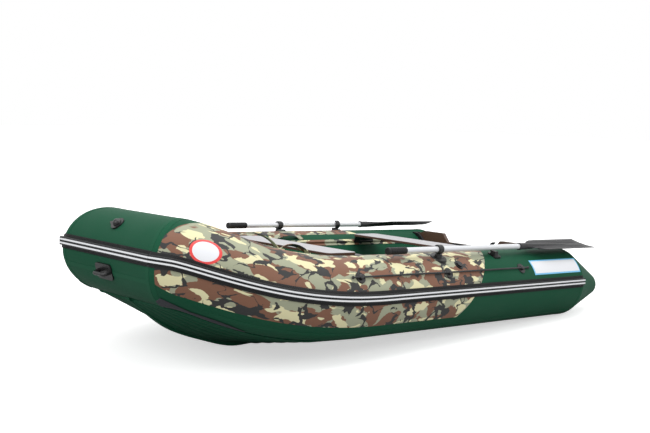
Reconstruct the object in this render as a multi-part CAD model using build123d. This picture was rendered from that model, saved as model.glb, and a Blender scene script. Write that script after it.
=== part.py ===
"""Inflatable keel boat with a blunt raised bow, plywood transom, two thwarts and a pair of oars.

Modelled in millimetres in the hull's own frame: +X to the bow, +Y to port, +Z up, the side tubes
parallel to X. Every piece is then trimmed bow-up, so that the keel lies flat on the floor and the
origin is the middle of the floor rectangle that the boat covers.
"""
from build123d import *

import math
import os

# Tubes
TUBE_R = 205.0            # radius of the buoyancy tube
TUBE_Y = 556.0            # half the distance between the side tube axes
TUBE_Z = 215.0            # height of the side tube axis above the hull base
TUBE_AFT_X = -1240.0      # joint between side tube and stern cone
BEND_X = 505.0            # where the side tube leaves the straight
BOW_X = 1430.0            # axis of the tube across the bow
BOW_HALF = 277.0          # half the length of that axis, to the mitre
BOW_Z = 379.0             # height of that axis
MITRE_TURN = 42.3         # plan angle, in degrees, between side tube and hull axis at the mitre
MITRE_RISE = 5.6          # climb of the side tube there, in degrees
BEND_PULL = 683.0         # curve handle at the straight
MITRE_PULL = 200.0        # curve handle at the mitre
GLUE = 0.3                # glue line between pieces that lie on each other

# Stern cones
CONE_LENGTH = 400.0
CONE_TIP_R = 60.0
CONE_TIP_ROUND = 45.0
CONE_DROP = 38.0          # how far the tip sits below the tube axis

# Rub strake, a band along the tube's outer side
STRAKE_AFT_X = -1236.0
STRAKE_LIFT = 26.0        # height of its middle above the tube axis
STRAKE_HALF = 34.0        # half the width of the base flange
STRAKE_BASE = 4.0         # thickness of the base flange
STRAKE_GLUE = 0.9         # the band stays level on a climbing tube, so its glue line is thicker
BEAD_HALF = 21.0          # half the width of the raised bead
BEAD_HEIGHT = 15.0        # height of the bead over the tube
BEAD_ROUND = 5.0
STRIPE_WIDTH = 8.0
STRIPE_OFFSET = 9.0       # from the middle of the bead to the middle of a stripe
STRIPE_DEPTH = 2.0        # how deep a stripe sits in the bead
STRIPE_PROUD = 1.5        # how far it stands out of the bead

# Inflatable bottom
KEEL_DEPTH = 104.0        # lowest point of the keel below the hull base
KEEL_LOW_X = 800.0        # where that point is
FOREFOOT = ((1032.0, -64.0), (1270.0, 22.0), (1420.0, 122.0))  # keel line as it climbs to the bow
KEEL_FRONT_X = 1496.0     # front end of the keel strip, under the bow tube
KEEL_HALF = 18.0          # half the width of the keel strip
KEEL_THICK = 9.0
CHINE_FRONT = 82.0        # degrees below the level where the bottom leaves the tube, at the bow
CHINE_AFT = 112.0         # the same at the stern
EDGE_LIP = 4.0            # thickness of the bottom where it meets the tube
FLOOR_Z = 92.0            # cockpit floor above the hull base
TUFTS_UNDER = 6           # inflated ribs on each side of the keel
TUFTS_OVER = 9            # inflated ribs across the cockpit floor
TUFT_BULGE = 6.0
FRONT_STATIONS = (935.0, 1070.0, 1205.0, 1340.0)  # cross-sections of the rising forefoot
FLOOR_CLIMB_X = 1000.0    # the cockpit floor starts to rise here
FLOOR_CLIMB = 0.9         # its rise, as a share of the keel's

# Chine strip, a wear patch that covers the joint of tube and bottom at the bow
CHINE_STRIP_THICK = 3.0
CHINE_STRIP_LOW = 80.0    # its lower edge, in degrees below the level
CHINE_STRIP_LINE = ((1120.0, 50.0), (1200.0, 86.0), (1345.0, 143.0), (1434.0, 175.0), (1560.0, 236.0))

# Transom
TRANSOM_AFT_X = -1120.0
TRANSOM_THICK = 28.0
TRANSOM_SHOULDER_Z = 428.0
TRANSOM_NOTCH_Z = 374.0
TRANSOM_NOTCH_HALF = 190.0
TRANSOM_SHOULDER_IN = 232.0
TRANSOM_SHOULDER_OUT = 385.0
TRANSOM_EDGE_Y = 450.0
TRANSOM_EDGE_Z = 402.0
TRANSOM_TIP_Y = 520.0
TRANSOM_TIP_Z = 380.0
TRANSOM_FOOT_Z = 16.0
TRANSOM_ROUND = 14.0
PAD_THICK = 5.0
PAD_HALF = 150.0
PAD_DROP = 190.0          # height of the outer motor pad
PAD_INNER_DROP = 110.0
PAD_ROUND = 16.0
MOUNT_BASE = 5.0          # rubber web between the transom's end and the tube
MOUNT_REACH = 46.0        # how far a flange stands over the transom's face
MOUNT_FLANGE = 12.0       # thickness of a flange
MOUNT_FROM = 108.0        # round the tube, from outboard over the top
MOUNT_TO = 204.0
DRAIN_Y = -300.0
DRAIN_Z = 118.0
DRAIN_R = 15.0
EYE_Y = 280.0
EYE_Z = 210.0
EYE_SPAN = 44.0
EYE_ROD_R = 4.0
EYE_REACH = 34.0
EYE_PLATE = 3.0

# Thwarts
THWART_WIDTH = 212.0
THWART_THICK = 14.0
THWART_TOP_Z = 416.0
THWART_HALF = 400.0
THWART_FRONT_X = 475.0    # middle of the front thwart
THWART_AFT_X = -516.0
THWART_CORNER = 28.0
RAIL_ANGLE = 134.0        # where the seat rail lies round the tube, from outboard over the top
RAIL_FROM_X = -960.0
RAIL_TO_X = 500.0
RAIL_HALF = 22.0          # half the width of the rail's flange
RAIL_THICK = 3.0
RAIL_BEAD_R = 6.0
BRACKET_LENGTH = 170.0
BRACKET_WALL = 4.0
BRACKET_REACH = 56.0      # how far the bracket reaches under the thwart

# Oars
OAR_X = 0.0               # rowlock pin
OAR_Y = 637.0
OAR_Z = 450.0
SHAFT_R = 15.5
SHAFT_FORE = 404.0        # grip end, forward of the pin
SHAFT_AFT = 1428.0        # blade tip, aft of the pin
GRIP_LENGTH = 138.0
GRIP_R = 18.5
GRIP_RINGS = 9
GRIP_GROOVE = 1.6
BLADE_LENGTH = 715.0
BLADE_WIDTH = 150.0
BLADE_THICK = 5.0
BLADE_SOCKET_R = 19.0
BLADE_SOCKET_LENGTH = 150.0
BLADE_SHOULDER = 210.0    # from the socket's mouth to the full width
BLADE_SLANT = 46.0        # how much longer the outer edge of the tip is
BLADE_RIB = 4.0           # height of the stiffening ribs
FIT = 0.3                 # clearance of a shaft in its sleeve
LOCK_WALL = 9.0           # wall of the rowlock's ring
LOCK_LENGTH = 34.0
LOCK_PIN_R = 7.0
LOCK_PIN_DEPTH = 17.0
LOCK_PIN_FIT = 0.35
LOCK_BOSS_R = 20.0
LOCK_PAD_R = 47.0
LOCK_PAD_THICK = 7.0
SWING_GAP = 6.0           # least gap between the turning oar and what it passes over
CLIP_X = -489.0
CLIP_LENGTH = 30.0
CLIP_WALL = 7.0
CLIP_PAD = 62.0
CLIP_HORN = 22.0          # height of the inboard horn above the shaft's axis

# Fittings
HOLDER_X = (672.0, 12.0, -636.0)
HOLDER_ANGLE = 36.0       # round the tube, from outboard towards the top
HOLDER_R = 30.0
HOLDER_THICK = 4.0
HOLDER_EYE_R = 13.0
HOLDER_EYE_HEIGHT = 15.0
LINE_R = 4.0
LINE_TAIL = 26.0          # rope past the last holder, with its knot
KNOT_R = 9.0
VALVE_X = -109.0
VALVE_ANGLE = 49.0
VALVE_R = 29.0
VALVE_CAP_R = 19.0
LOOP_X = (1085.0, 862.0, 105.0)
LOOP_HALF = 100.0
LOOP_ANGLE = (104.0, 115.0, 121.0)
LOOP_RISE = (46.0, 52.0, 29.0)  # the last lies under the sweep of the oar
LOOP_WIDTH = 30.0
LOOP_THICK = 3.0
LOOP_TAB = 34.0
BOW_EYE_ANGLE = 48.0
BOW_EYE_R = 34.0
BOW_EYE_THICK = 6.0
BOW_EYE_TAIL = 62.0
BOW_RING_R = 17.0
BOW_RING_ROD = 3.6
TOW_ANGLE = -19.0         # the tow handle sits below the rub strake
TOW_HALF = 66.0
TOW_HEIGHT = 78.0
TOW_THICK = 6.0
TOW_GRIP_R = 10.0
TOW_STAND = 34.0          # height of the grip's axis over the tube
STERN_HANDLE_X = -1372.0
STERN_HANDLE_HALF = 72.0
STERN_HANDLE_ANGLE = 118.0
STERN_HANDLE_RISE = 30.0
STERN_HANDLE_ROD = 7.0
STERN_TAB = 26.0


def unit(vector):
    """The vector at length one."""
    return vector.normalized()


def on_arc(degrees):
    """Sine and cosine of an angle in degrees, as (cos, sin)."""
    return math.cos(math.radians(degrees)), math.sin(math.radians(degrees))


# The keel and the sterns of the two tubes stand on one flat floor
FLOOR_AFT_Z = TUBE_Z - TUBE_R
TRIM = math.degrees(math.atan2(KEEL_DEPTH + FLOOR_AFT_Z, KEEL_LOW_X - TUBE_AFT_X))

# The line that the tube axis follows, on the port side
TURN_COS, TURN_SIN = on_arc(MITRE_TURN)
RISE_COS, RISE_SIN = on_arc(MITRE_RISE)
MITRE_DIR = Vector(TURN_COS * RISE_COS, -TURN_SIN * RISE_COS, RISE_SIN)
MITRE = Vector(BOW_X, BOW_HALF, BOW_Z)
BEND_POINTS = (
    Vector(BEND_X, TUBE_Y, TUBE_Z),
    Vector(BEND_X + BEND_PULL, TUBE_Y, TUBE_Z),
    MITRE - MITRE_DIR * MITRE_PULL,
    MITRE,
)
MITRE_PLANE = Plane(origin=MITRE, z_dir=unit(MITRE_DIR + Vector(0, -1, 0)))
MITRE_EXTRA = 2 * TUBE_R  # run past the mitre before it is cut
GUIDE_LIFT = 300.0        # a parallel curve above the axis keeps the strake upright
HALF_TURN = math.radians(90.0 - MITRE_TURN) / 2
MITRE_CLIMB = (TUBE_R + BEAD_HEIGHT) * math.tan(HALF_TURN) * math.tan(math.radians(MITRE_RISE))
HOLDER_SEAT = HOLDER_THICK + LINE_R + 1.0  # height of the rope's axis over the tube's skin


def bend_at(t):
    """Point and direction on the bend of the tube axis, for t from 0 to 1."""
    a, b, c, d = BEND_POINTS
    s = 1.0 - t
    point = a * s**3 + b * (3 * s * s * t) + c * (3 * s * t * t) + d * t**3
    slope = (b - a) * (3 * s * s) + (c - b) * (6 * s * t) + (d - c) * (3 * t * t)
    return point, unit(slope)


def skin_frame(point, along, angle):
    """Point on the tube's skin and its outward normal, from outboard (0) over the top (90)."""
    out = unit(Vector(-along.Y, along.X, 0))
    up = unit(out.cross(along)) * -1
    if up.Z < 0:
        up = up * -1
    cos, sin = on_arc(angle)
    normal = out * cos + up * sin
    return point + normal * TUBE_R, normal


def along_tube(x, angle):
    """Skin point, normal and tube direction where the skin at this angle reaches length x."""
    low, high = 0.0, 1.0
    point, slope = Vector(x, TUBE_Y, TUBE_Z), Vector(1, 0, 0)
    if x > BEND_X:
        for _ in range(40):
            mid = (low + high) / 2
            point, slope = bend_at(mid)
            if skin_frame(point, slope, angle)[0].X < x:
                low = mid
            else:
                high = mid
    skin, normal = skin_frame(point, slope, angle)
    if x > skin.X and x > BEND_X:
        skin = skin + slope * ((x - skin.X) / slope.X)
    return skin, normal, slope


def tube_plane(x, angle):
    """Plane on the side tube's skin: x_dir along the tube, z_dir out of the skin."""
    skin, normal, slope = along_tube(x, angle)
    return Plane(origin=skin, x_dir=slope, z_dir=normal)


def bow_plane(y, angle):
    """Plane on the bow tube's skin: x_dir to starboard, z_dir out of the skin."""
    cos, sin = on_arc(angle)
    normal = Vector(cos, 0, sin)
    return Plane(origin=Vector(BOW_X, y, BOW_Z) + normal * TUBE_R, x_dir=(0, -1, 0), z_dir=normal)


def tube_core(plane, length, gap=GLUE):
    """A stretch of the tube under a plane on its skin, grown by the glue line."""
    centre = Plane(origin=plane.origin - plane.z_dir * TUBE_R, x_dir=plane.z_dir, z_dir=plane.x_dir)
    return centre * Cylinder(TUBE_R + gap, length)


def side_plane(x):
    """Cross-section of the port tube: u outboard, v up, from the tube axis."""
    return Plane(origin=(x, TUBE_Y, TUBE_Z), x_dir=(0, 1, 0), z_dir=(1, 0, 0))


def carried(sketch, start_x, upright):
    """A profile, u outboard and v up, carried along the port tube axis and cut at the mitre."""
    straight = extrude(side_plane(start_x) * sketch, amount=BEND_X - start_x)
    section = side_plane(BEND_X) * sketch
    if upright:
        guide = Bezier(*[point + Vector(0, 0, GUIDE_LIFT) for point in BEND_POINTS])
        bend = sweep(section, path=Bezier(*BEND_POINTS), binormal=guide)
    else:
        bend = sweep(section, path=Bezier(*BEND_POINTS))
    ends = [face for face in bend.faces() if face.center().X > BOW_X - 2 * TUBE_R and face.is_planar]
    ends = [face for face in ends if abs(face.normal_at().Z) < 2 * RISE_SIN]
    body = straight + bend
    for face in ends:
        body += extrude(face, amount=MITRE_EXTRA, dir=MITRE_DIR)
    return split(body, bisect_by=MITRE_PLANE, keep=Keep.BOTTOM)


def across_bow(sketch):
    """A profile carried across the bow between the two mitres."""
    start = BOW_HALF + MITRE_EXTRA
    plane = Plane(origin=(BOW_X, start, BOW_Z), x_dir=(1, 0, 0), z_dir=(0, -1, 0))
    body = extrude(plane * sketch, amount=2 * start)
    port = split(body, bisect_by=MITRE_PLANE, keep=Keep.TOP)
    normal = MITRE_PLANE.z_dir
    other = Plane(origin=(MITRE.X, -MITRE.Y, MITRE.Z), z_dir=(normal.X, -normal.Y, normal.Z))
    return split(port, bisect_by=other, keep=Keep.TOP)


def starboard(shape):
    """The same piece on the other side of the hull."""
    return mirror(shape, about=Plane.XZ)


def strake_sketch(lift):
    """Rubber band: a base flange that hugs the tube and a raised bead."""
    inner = Circle(TUBE_R + STRAKE_GLUE)
    flange = Circle(TUBE_R + STRAKE_GLUE + STRAKE_BASE) & (
        Pos(TUBE_R, lift) * Rectangle(TUBE_R, 2 * STRAKE_HALF)
    )
    bead = Pos(TUBE_R * 3 / 4 + BEAD_HEIGHT, lift) * RectangleRounded(TUBE_R / 2, 2 * BEAD_HALF, BEAD_ROUND)
    return flange + bead - inner - stripe_sketch(lift)


def stripe_sketch(lift):
    """Two pale inlays in the face of the bead."""
    depth = STRIPE_DEPTH + STRIPE_PROUD
    middle = TUBE_R + BEAD_HEIGHT - STRIPE_DEPTH + depth / 2
    one = Rectangle(depth, STRIPE_WIDTH)
    return Pos(middle, lift + STRIPE_OFFSET) * one + Pos(middle, lift - STRIPE_OFFSET) * one


def make_cone():
    """Stern cone: the tube's end tapers to a small rounded tip that sits a little low."""
    start = Plane(origin=(TUBE_AFT_X, TUBE_Y, TUBE_Z), z_dir=(-1, 0, 0)) * Circle(TUBE_R)
    tip = (TUBE_AFT_X - CONE_LENGTH, TUBE_Y, TUBE_Z - CONE_DROP)
    end = Plane(origin=tip, z_dir=(-1, 0, 0)) * Circle(CONE_TIP_R)
    cone = loft([start, end], ruled=True)
    return fillet(cone.edges().sort_by(Axis.X)[0], CONE_TIP_ROUND)


def keel_z(x):
    """Height of the keel line: flat on the floor, then a curve up the forefoot."""
    if x <= KEEL_LOW_X:
        share = (x - TUBE_AFT_X) / (KEEL_LOW_X - TUBE_AFT_X)
        return FLOOR_AFT_Z - share * (KEEL_DEPTH + FLOOR_AFT_Z)
    line = ((KEEL_LOW_X, -KEEL_DEPTH),) + FOREFOOT
    slope = (line[-1][1] - line[-2][1]) / (line[-1][0] - line[-2][0])
    last = (KEEL_FRONT_X, line[-1][1] + slope * (KEEL_FRONT_X - line[-1][0]))
    line = line + (last,)
    for (x0, z0), (x1, z1) in zip(line, line[1:]):
        if x <= x1:
            return z0 + (z1 - z0) * (x - x0) / (x1 - x0)
    return last[1]


def chine_angle(x):
    """Where the bottom leaves the tube, in degrees below the level, further inboard to the stern."""
    share = min(1.0, max(0.0, (x - TUBE_AFT_X) / (KEEL_LOW_X - TUBE_AFT_X)))
    return CHINE_AFT + (CHINE_FRONT - CHINE_AFT) * share


def scallops(start, end, count, bulge):
    """Arcs side by side from start to end, all bulging the same way."""
    arcs = []
    step = (end - start) * (1.0 / count)
    for i in range(count):
        a = start + step * i
        b = start + step * (i + 1)
        arcs.append(ThreePointArc(a, (a + b) * 0.5 + bulge, b))
    return arcs


def bottom_section(x, top_z):
    """Closed cross-section of the inflatable bottom at one station."""
    skin, normal, slope = along_tube(x, -chine_angle(x))
    edge = skin + normal * EDGE_LIP
    port_low = Vector(x, edge.Y, edge.Z)
    port_top = Vector(x, edge.Y - TUBE_R / 4, top_z)
    mid = Vector(x, 0, keel_z(x) + KEEL_THICK)
    stbd_low = Vector(x, -port_low.Y, port_low.Z)
    stbd_top = Vector(x, -port_top.Y, port_top.Z)
    down, lift = Vector(0, 0, -TUFT_BULGE), Vector(0, 0, TUFT_BULGE)
    edges = scallops(port_low, mid, TUFTS_UNDER, down)
    edges += scallops(mid, stbd_low, TUFTS_UNDER, down)
    edges.append(Line(stbd_low, stbd_top))
    edges += scallops(stbd_top, port_top, TUFTS_OVER, lift)
    edges.append(Line(port_top, port_low))
    return make_face(edges)


def floor_z(x):
    """Height of the cockpit floor, which rises with the keel at the bow."""
    return FLOOR_Z + FLOOR_CLIMB * max(0.0, keel_z(max(x, FLOOR_CLIMB_X)) - keel_z(FLOOR_CLIMB_X))


def make_bottom(tubes, strip):
    """Inflatable bottom: ribbed below and above, cut to lie against the tubes and the keel strip."""
    aft_x = TRANSOM_AFT_X + TRANSOM_THICK + GLUE
    straight = [bottom_section(x, floor_z(x)) for x in (aft_x, BEND_X, KEEL_LOW_X)]
    front_x = KEEL_FRONT_X - 2 * KEEL_THICK
    rising = [bottom_section(x, floor_z(x)) for x in (KEEL_LOW_X, *FRONT_STATIONS, front_x)]
    body = loft(straight, ruled=True) + loft(rising)
    for tube in tubes:
        body -= tube
    return body - strip


def make_keel_strip():
    """Rubber wear strip along the keel and up the forefoot."""
    aft_x = TRANSOM_AFT_X + TRANSOM_THICK + GLUE
    stations = [aft_x, KEEL_LOW_X] + [x for x, _ in FOREFOOT] + [KEEL_FRONT_X]
    low = [Vector(x, 0, keel_z(x)) for x in stations]
    high = [point + Vector(0, 0, KEEL_THICK * 2) for point in low]
    under = Line(low[0], low[1]), Spline(low[1:], tangents=[low[1] - low[0], low[-1] - low[-2]])
    over = Line(high[0], high[1]), Spline(high[1:], tangents=[high[1] - high[0], high[-1] - high[-2]])
    sides = Line(low[0], high[0]), Line(low[-1], high[-1])
    face = make_face([*under, *over, *sides])
    return extrude(face, amount=KEEL_HALF, dir=(0, 1, 0), both=True)


def make_chine_strip(thick):
    """Grey wear patch low on the tube at the bow, widest at the mitre."""
    outer = TUBE_R + GLUE + thick
    cos, sin = on_arc(-CHINE_STRIP_LOW)
    wedge = make_face(Polyline((0, 0), (2 * outer * cos, 2 * outer * sin), (2 * outer, 2 * outer * sin),
                               (2 * outer, 0), close=True))
    patch = carried((Circle(outer) - Circle(TUBE_R + GLUE)) & wedge, BEND_X - TUBE_R, False)
    line = [Vector(x, 0, z) for x, z in CHINE_STRIP_LINE]
    base = [Vector(line[-1].X, 0, -TUBE_R), Vector(line[0].X, 0, -TUBE_R)]
    window = extrude(make_face(Polyline(*line, *base, close=True)), amount=-3 * TUBE_Y)
    if window.bounding_box().max.Y < TUBE_R:
        window = starboard(window)
    return patch & window


def transom_profile():
    """Outline of the transom seen from astern, before the tubes are cut out of it."""
    half = [
        (0.0, TRANSOM_NOTCH_Z),
        (TRANSOM_NOTCH_HALF, TRANSOM_NOTCH_Z),
        (TRANSOM_SHOULDER_IN, TRANSOM_SHOULDER_Z),
        (TRANSOM_SHOULDER_OUT, TRANSOM_SHOULDER_Z),
        (TRANSOM_EDGE_Y, TRANSOM_EDGE_Z),
        (TRANSOM_TIP_Y, TRANSOM_TIP_Z),
        (TRANSOM_TIP_Y, TRANSOM_FOOT_Z),
    ]
    points = half + [(-y, z) for y, z in reversed(half[1:])]
    outline = Polyline(*points, close=True)
    face = make_face(outline)
    corners = [v for v in face.vertices() if v.Y > TRANSOM_NOTCH_Z - 1 and abs(v.X) < TRANSOM_TIP_Y - 1]
    return fillet([v for v in corners if abs(v.X) > 1], TRANSOM_ROUND)


def transom_plane(x):
    """Cross-section of the hull that looks aft: u to starboard is negative, v up."""
    return Plane(origin=(x, 0, 0), x_dir=(0, 1, 0), z_dir=(1, 0, 0))


def make_transom():
    """Plywood board that stands between the tubes, notched for an outboard motor."""
    plank = extrude(transom_plane(TRANSOM_AFT_X) * transom_profile(), amount=TRANSOM_THICK)
    reach = TUBE_R + MOUNT_BASE + 2 * GLUE
    for side in (1, -1):
        seat = Pos(TRANSOM_AFT_X, side * TUBE_Y, TUBE_Z) * Rot(0, 90, 0) * Cylinder(reach, 4 * TRANSOM_THICK)
        plank -= seat
    bore = Pos(TRANSOM_AFT_X, DRAIN_Y, DRAIN_Z) * Rot(0, 90, 0) * Cylinder(DRAIN_R, 4 * TRANSOM_THICK)
    return (plank - bore).solids().sort_by(SortBy.VOLUME)[-1]


def make_pad(face_x, drop, outward):
    """Plastic clamp pad that hangs from the notch on one face of the transom."""
    centre = Pos(0, TRANSOM_NOTCH_Z - drop / 2) * RectangleRounded(2 * PAD_HALF, drop, PAD_ROUND)
    groove = Rectangle(2 * PAD_HALF - 6 * PAD_ROUND, PAD_THICK)
    plane = transom_plane(face_x)
    pad = extrude(plane * centre, amount=PAD_THICK * outward)
    rows = int(drop // (3 * PAD_ROUND))
    for i in range(rows):
        z = TRANSOM_NOTCH_Z - drop * (i + 1) / (rows + 1)
        cut = transom_plane(face_x + PAD_THICK * outward) * (Pos(0, z) * groove)
        pad -= extrude(cut, amount=PAD_THICK / 2, both=True)
    return pad


def make_transom_mount():
    """Rubber holder on the tube: a web and two flanges that grip the edge of the transom."""
    web = TUBE_R + GLUE + MOUNT_BASE
    sector = []
    for angle in (MOUNT_FROM, (MOUNT_FROM + MOUNT_TO) / 2, MOUNT_TO):
        cos, sin = on_arc(angle)
        sector.append((3 * TUBE_R * cos, 3 * TUBE_R * sin))
    wedge = make_face(Polyline((0, 0), *sector, close=True))
    length = TRANSOM_THICK + 2 * GLUE + 2 * MOUNT_FLANGE
    start = TRANSOM_AFT_X - GLUE - MOUNT_FLANGE
    outer = (Circle(TUBE_R + MOUNT_REACH) - Circle(TUBE_R + GLUE)) & wedge
    inner = Circle(TUBE_R + 2 * MOUNT_REACH) - Circle(web)
    body = extrude(side_plane(start) * outer, amount=length)
    slot = extrude(side_plane(TRANSOM_AFT_X - GLUE) * inner, amount=TRANSOM_THICK + 2 * GLUE)
    return body - slot


def make_drain_plug():
    """Drain plug: a short barrel in the transom's bore under a ribbed cap."""
    radius = DRAIN_R - GLUE
    barrel = Pos(TRANSOM_AFT_X + TRANSOM_THICK / 2, DRAIN_Y, DRAIN_Z) * Rot(0, 90, 0)
    body = barrel * Cylinder(radius, TRANSOM_THICK)
    cap_x = TRANSOM_AFT_X - GLUE - PAD_THICK
    cap = Pos(cap_x, DRAIN_Y, DRAIN_Z) * Rot(0, 90, 0) * Cylinder(DRAIN_R * 3 / 2, 2 * PAD_THICK)
    neck = Pos(TRANSOM_AFT_X, DRAIN_Y, DRAIN_Z) * Rot(0, 90, 0) * Cylinder(radius, 2 * PAD_THICK)
    return body + chamfer(cap.edges(), PAD_THICK / 4) + neck


def make_stern_eye():
    """Steel towing eye: a bent rod on a small plate, on the aft face of the transom."""
    face_x = TRANSOM_AFT_X - GLUE
    plate = extrude(
        transom_plane(face_x) * (Pos(EYE_Y, EYE_Z) * RectangleRounded(EYE_SPAN / 2, 2 * EYE_SPAN, 8)),
        amount=-EYE_PLATE,
    )
    foot_x = face_x - EYE_PLATE / 2
    low = Vector(foot_x, EYE_Y, EYE_Z - EYE_SPAN / 2)
    high = Vector(foot_x, EYE_Y, EYE_Z + EYE_SPAN / 2)
    turn_x = face_x - EYE_REACH + EYE_SPAN / 2
    path = Wire([
        Line(low, (turn_x, EYE_Y, low.Z)),
        ThreePointArc((turn_x, EYE_Y, low.Z), (face_x - EYE_REACH, EYE_Y, EYE_Z), (turn_x, EYE_Y, high.Z)),
        Line((turn_x, EYE_Y, high.Z), high),
    ])
    rod = sweep(Plane(origin=low, z_dir=(-1, 0, 0)) * Circle(EYE_ROD_R), path=path)
    return plate + rod


def make_thwart(x):
    """Plywood thwart across the tubes."""
    outline = RectangleRounded(THWART_WIDTH, 2 * THWART_HALF, THWART_CORNER)
    board = extrude(Plane(origin=(x, 0, THWART_TOP_Z)) * outline, amount=-THWART_THICK)
    rims = board.faces().sort_by(Axis.Z)
    return fillet(rims[-1].edges() + rims[0].edges(), THWART_THICK / 5)


def rail_section():
    """Seat rail round the tube: a glued flange and a round bead."""
    ring = Circle(TUBE_R + GLUE + RAIL_THICK) - Circle(TUBE_R + GLUE)
    turn = Rot(0, 0, RAIL_ANGLE)
    flange = ring & (turn * Pos(TUBE_R, 0) * Rectangle(TUBE_R / 2, 2 * RAIL_HALF))
    neck = turn * Pos(TUBE_R + GLUE + RAIL_THICK, 0) * Rectangle(2 * RAIL_THICK, RAIL_BEAD_R)
    return flange + neck + turn * Pos(bead_height(), 0) * Circle(RAIL_BEAD_R)


def bead_height():
    """Distance of the rail bead's middle from the tube axis."""
    return TUBE_R + GLUE + RAIL_THICK + RAIL_BEAD_R


def make_seat_rail():
    return extrude(side_plane(RAIL_FROM_X) * rail_section(), amount=RAIL_TO_X - RAIL_FROM_X)


def make_seat_bracket(x):
    """Channel that slides over the rail's bead and carries the end of a thwart."""
    cos, sin = on_arc(RAIL_ANGLE)
    bead_u, bead_v = bead_height() * cos, bead_height() * sin
    clamp_r = RAIL_BEAD_R + GLUE + BRACKET_WALL
    seat_v = THWART_TOP_Z - THWART_THICK - GLUE - TUBE_Z
    end_u = THWART_HALF - TUBE_Y
    clamp = Pos(bead_u, bead_v) * Circle(clamp_r)
    shelf = Pos(end_u - BRACKET_REACH / 2, seat_v - BRACKET_WALL / 2) * Rectangle(BRACKET_REACH, BRACKET_WALL)
    web = make_face(Polyline(
        (bead_u - BRACKET_WALL, bead_v),
        (bead_u + BRACKET_WALL, bead_v),
        (end_u - BRACKET_WALL, seat_v - BRACKET_WALL / 2),
        (end_u - 3 * BRACKET_WALL, seat_v - BRACKET_WALL / 2),
        close=True,
    ))
    turn = Rot(0, 0, RAIL_ANGLE)
    slot = turn * Pos(bead_height() - clamp_r / 2, 0) * Rectangle(clamp_r, RAIL_BEAD_R + 2 * GLUE)
    hole = Pos(bead_u, bead_v) * Circle(RAIL_BEAD_R + GLUE)
    section = clamp + web + shelf - hole - slot - Circle(TUBE_R + 2 * RAIL_THICK)
    return extrude(side_plane(x - BRACKET_LENGTH / 2) * section, amount=BRACKET_LENGTH)


def make_loop(index):
    """Fabric carrying loop: a bowed strap between two tabs glued along the tube."""
    x, angle, rise = LOOP_X[index], LOOP_ANGLE[index], LOOP_RISE[index]
    aft, fore = tube_plane(x - LOOP_HALF, angle), tube_plane(x + LOOP_HALF, angle)
    crown = tube_plane(x, angle)
    across = unit(crown.z_dir.cross(crown.x_dir))
    height = GLUE + LOOP_THICK / 2
    start = aft.origin + aft.z_dir * height
    end = fore.origin + fore.z_dir * height
    top = crown.origin + crown.z_dir * rise
    arch = ThreePointArc(start, top, end)
    tangent = arch % 0
    section = Plane(origin=start, x_dir=across, z_dir=tangent) * Rectangle(LOOP_WIDTH, LOOP_THICK)
    strap = sweep(section, path=arch)
    for plane, back in ((aft, -1), (fore, 1)):
        tab = plane * (Pos(back * LOOP_TAB / 3, 0) * RectangleRounded(LOOP_TAB, LOOP_WIDTH + 8, 6))
        patch = extrude(tab, amount=LOOP_THICK + 2, both=True)
        strap = strap + patch
        strap = strap - tube_core(plane, 4 * LOOP_TAB, 2 * GLUE)
    return strap.solids().sort_by(SortBy.VOLUME)[-1]


def make_holder(x):
    """Round rubber holder with a domed eye that the lifeline passes through."""
    plane = tube_plane(x, HOLDER_ANGLE)
    disc = plane * extrude(Circle(HOLDER_R), amount=HOLDER_THICK, taper=12)
    skirt = plane * extrude(Circle(HOLDER_R), amount=-HOLDER_THICK)
    dome = plane * Pos(0, 0, HOLDER_THICK / 2) * Cylinder(
        HOLDER_EYE_R, HOLDER_EYE_HEIGHT, align=(Align.CENTER, Align.CENTER, Align.MIN)
    )
    dome = fillet(dome.edges().sort_by(lambda e: (e.center() - plane.origin).dot(plane.z_dir))[-1], 6)
    tunnel = plane * Pos(0, 0, HOLDER_SEAT) * Rot(0, 90, 0) * Cylinder(LINE_R + 2 * FIT, 4 * HOLDER_R)
    return disc + skirt + dome - tunnel - tube_core(plane, 4 * HOLDER_R)


def make_lifeline():
    """Lifeline drawn tight through the three holders, with a knot past each end one."""
    seats = [tube_plane(x, HOLDER_ANGLE) for x in HOLDER_X]
    points = [plane.origin + plane.z_dir * HOLDER_SEAT for plane in seats]
    tail = HOLDER_R + LINE_TAIL
    first = points[0] + unit(points[0] - points[1]) * tail
    last = points[2] + unit(points[2] - points[1]) * tail
    rope = Pos(*points[1]) * Sphere(LINE_R)
    for end in (first, last):
        run = end - points[1]
        rope += extrude(Plane(origin=points[1], z_dir=run) * Circle(LINE_R), amount=run.length)
        rope += Pos(*end) * Sphere(KNOT_R)
    return rope


def make_valve():
    """Inflation valve: a flanged ring and a cap with finger grips."""
    plane = tube_plane(VALVE_X, VALVE_ANGLE)
    flange = plane * extrude(Circle(VALVE_R), amount=HOLDER_THICK, taper=15)
    skirt = plane * extrude(Circle(VALVE_R), amount=-HOLDER_THICK)
    cap = plane * extrude(Circle(VALVE_CAP_R), amount=3 * HOLDER_THICK)
    rim = cap.edges().sort_by(lambda e: (e.center() - plane.origin).dot(plane.z_dir))[-1]
    cap = fillet(rim, 2)
    body = flange + skirt + cap - tube_core(plane, 4 * VALVE_R)
    for i in range(8):
        cos, sin = on_arc(i * 45)
        notch = plane * Pos(VALVE_CAP_R * cos, VALVE_CAP_R * sin, 2 * HOLDER_THICK)
        body -= notch * Cylinder(3, 4 * HOLDER_THICK, align=(Align.CENTER, Align.CENTER, Align.MIN))
    return body


def skin_top(y):
    """Height of the straight side tube's skin at a distance from the hull's middle."""
    return TUBE_Z + math.sqrt(TUBE_R**2 - (y - TUBE_Y)**2)


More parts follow.
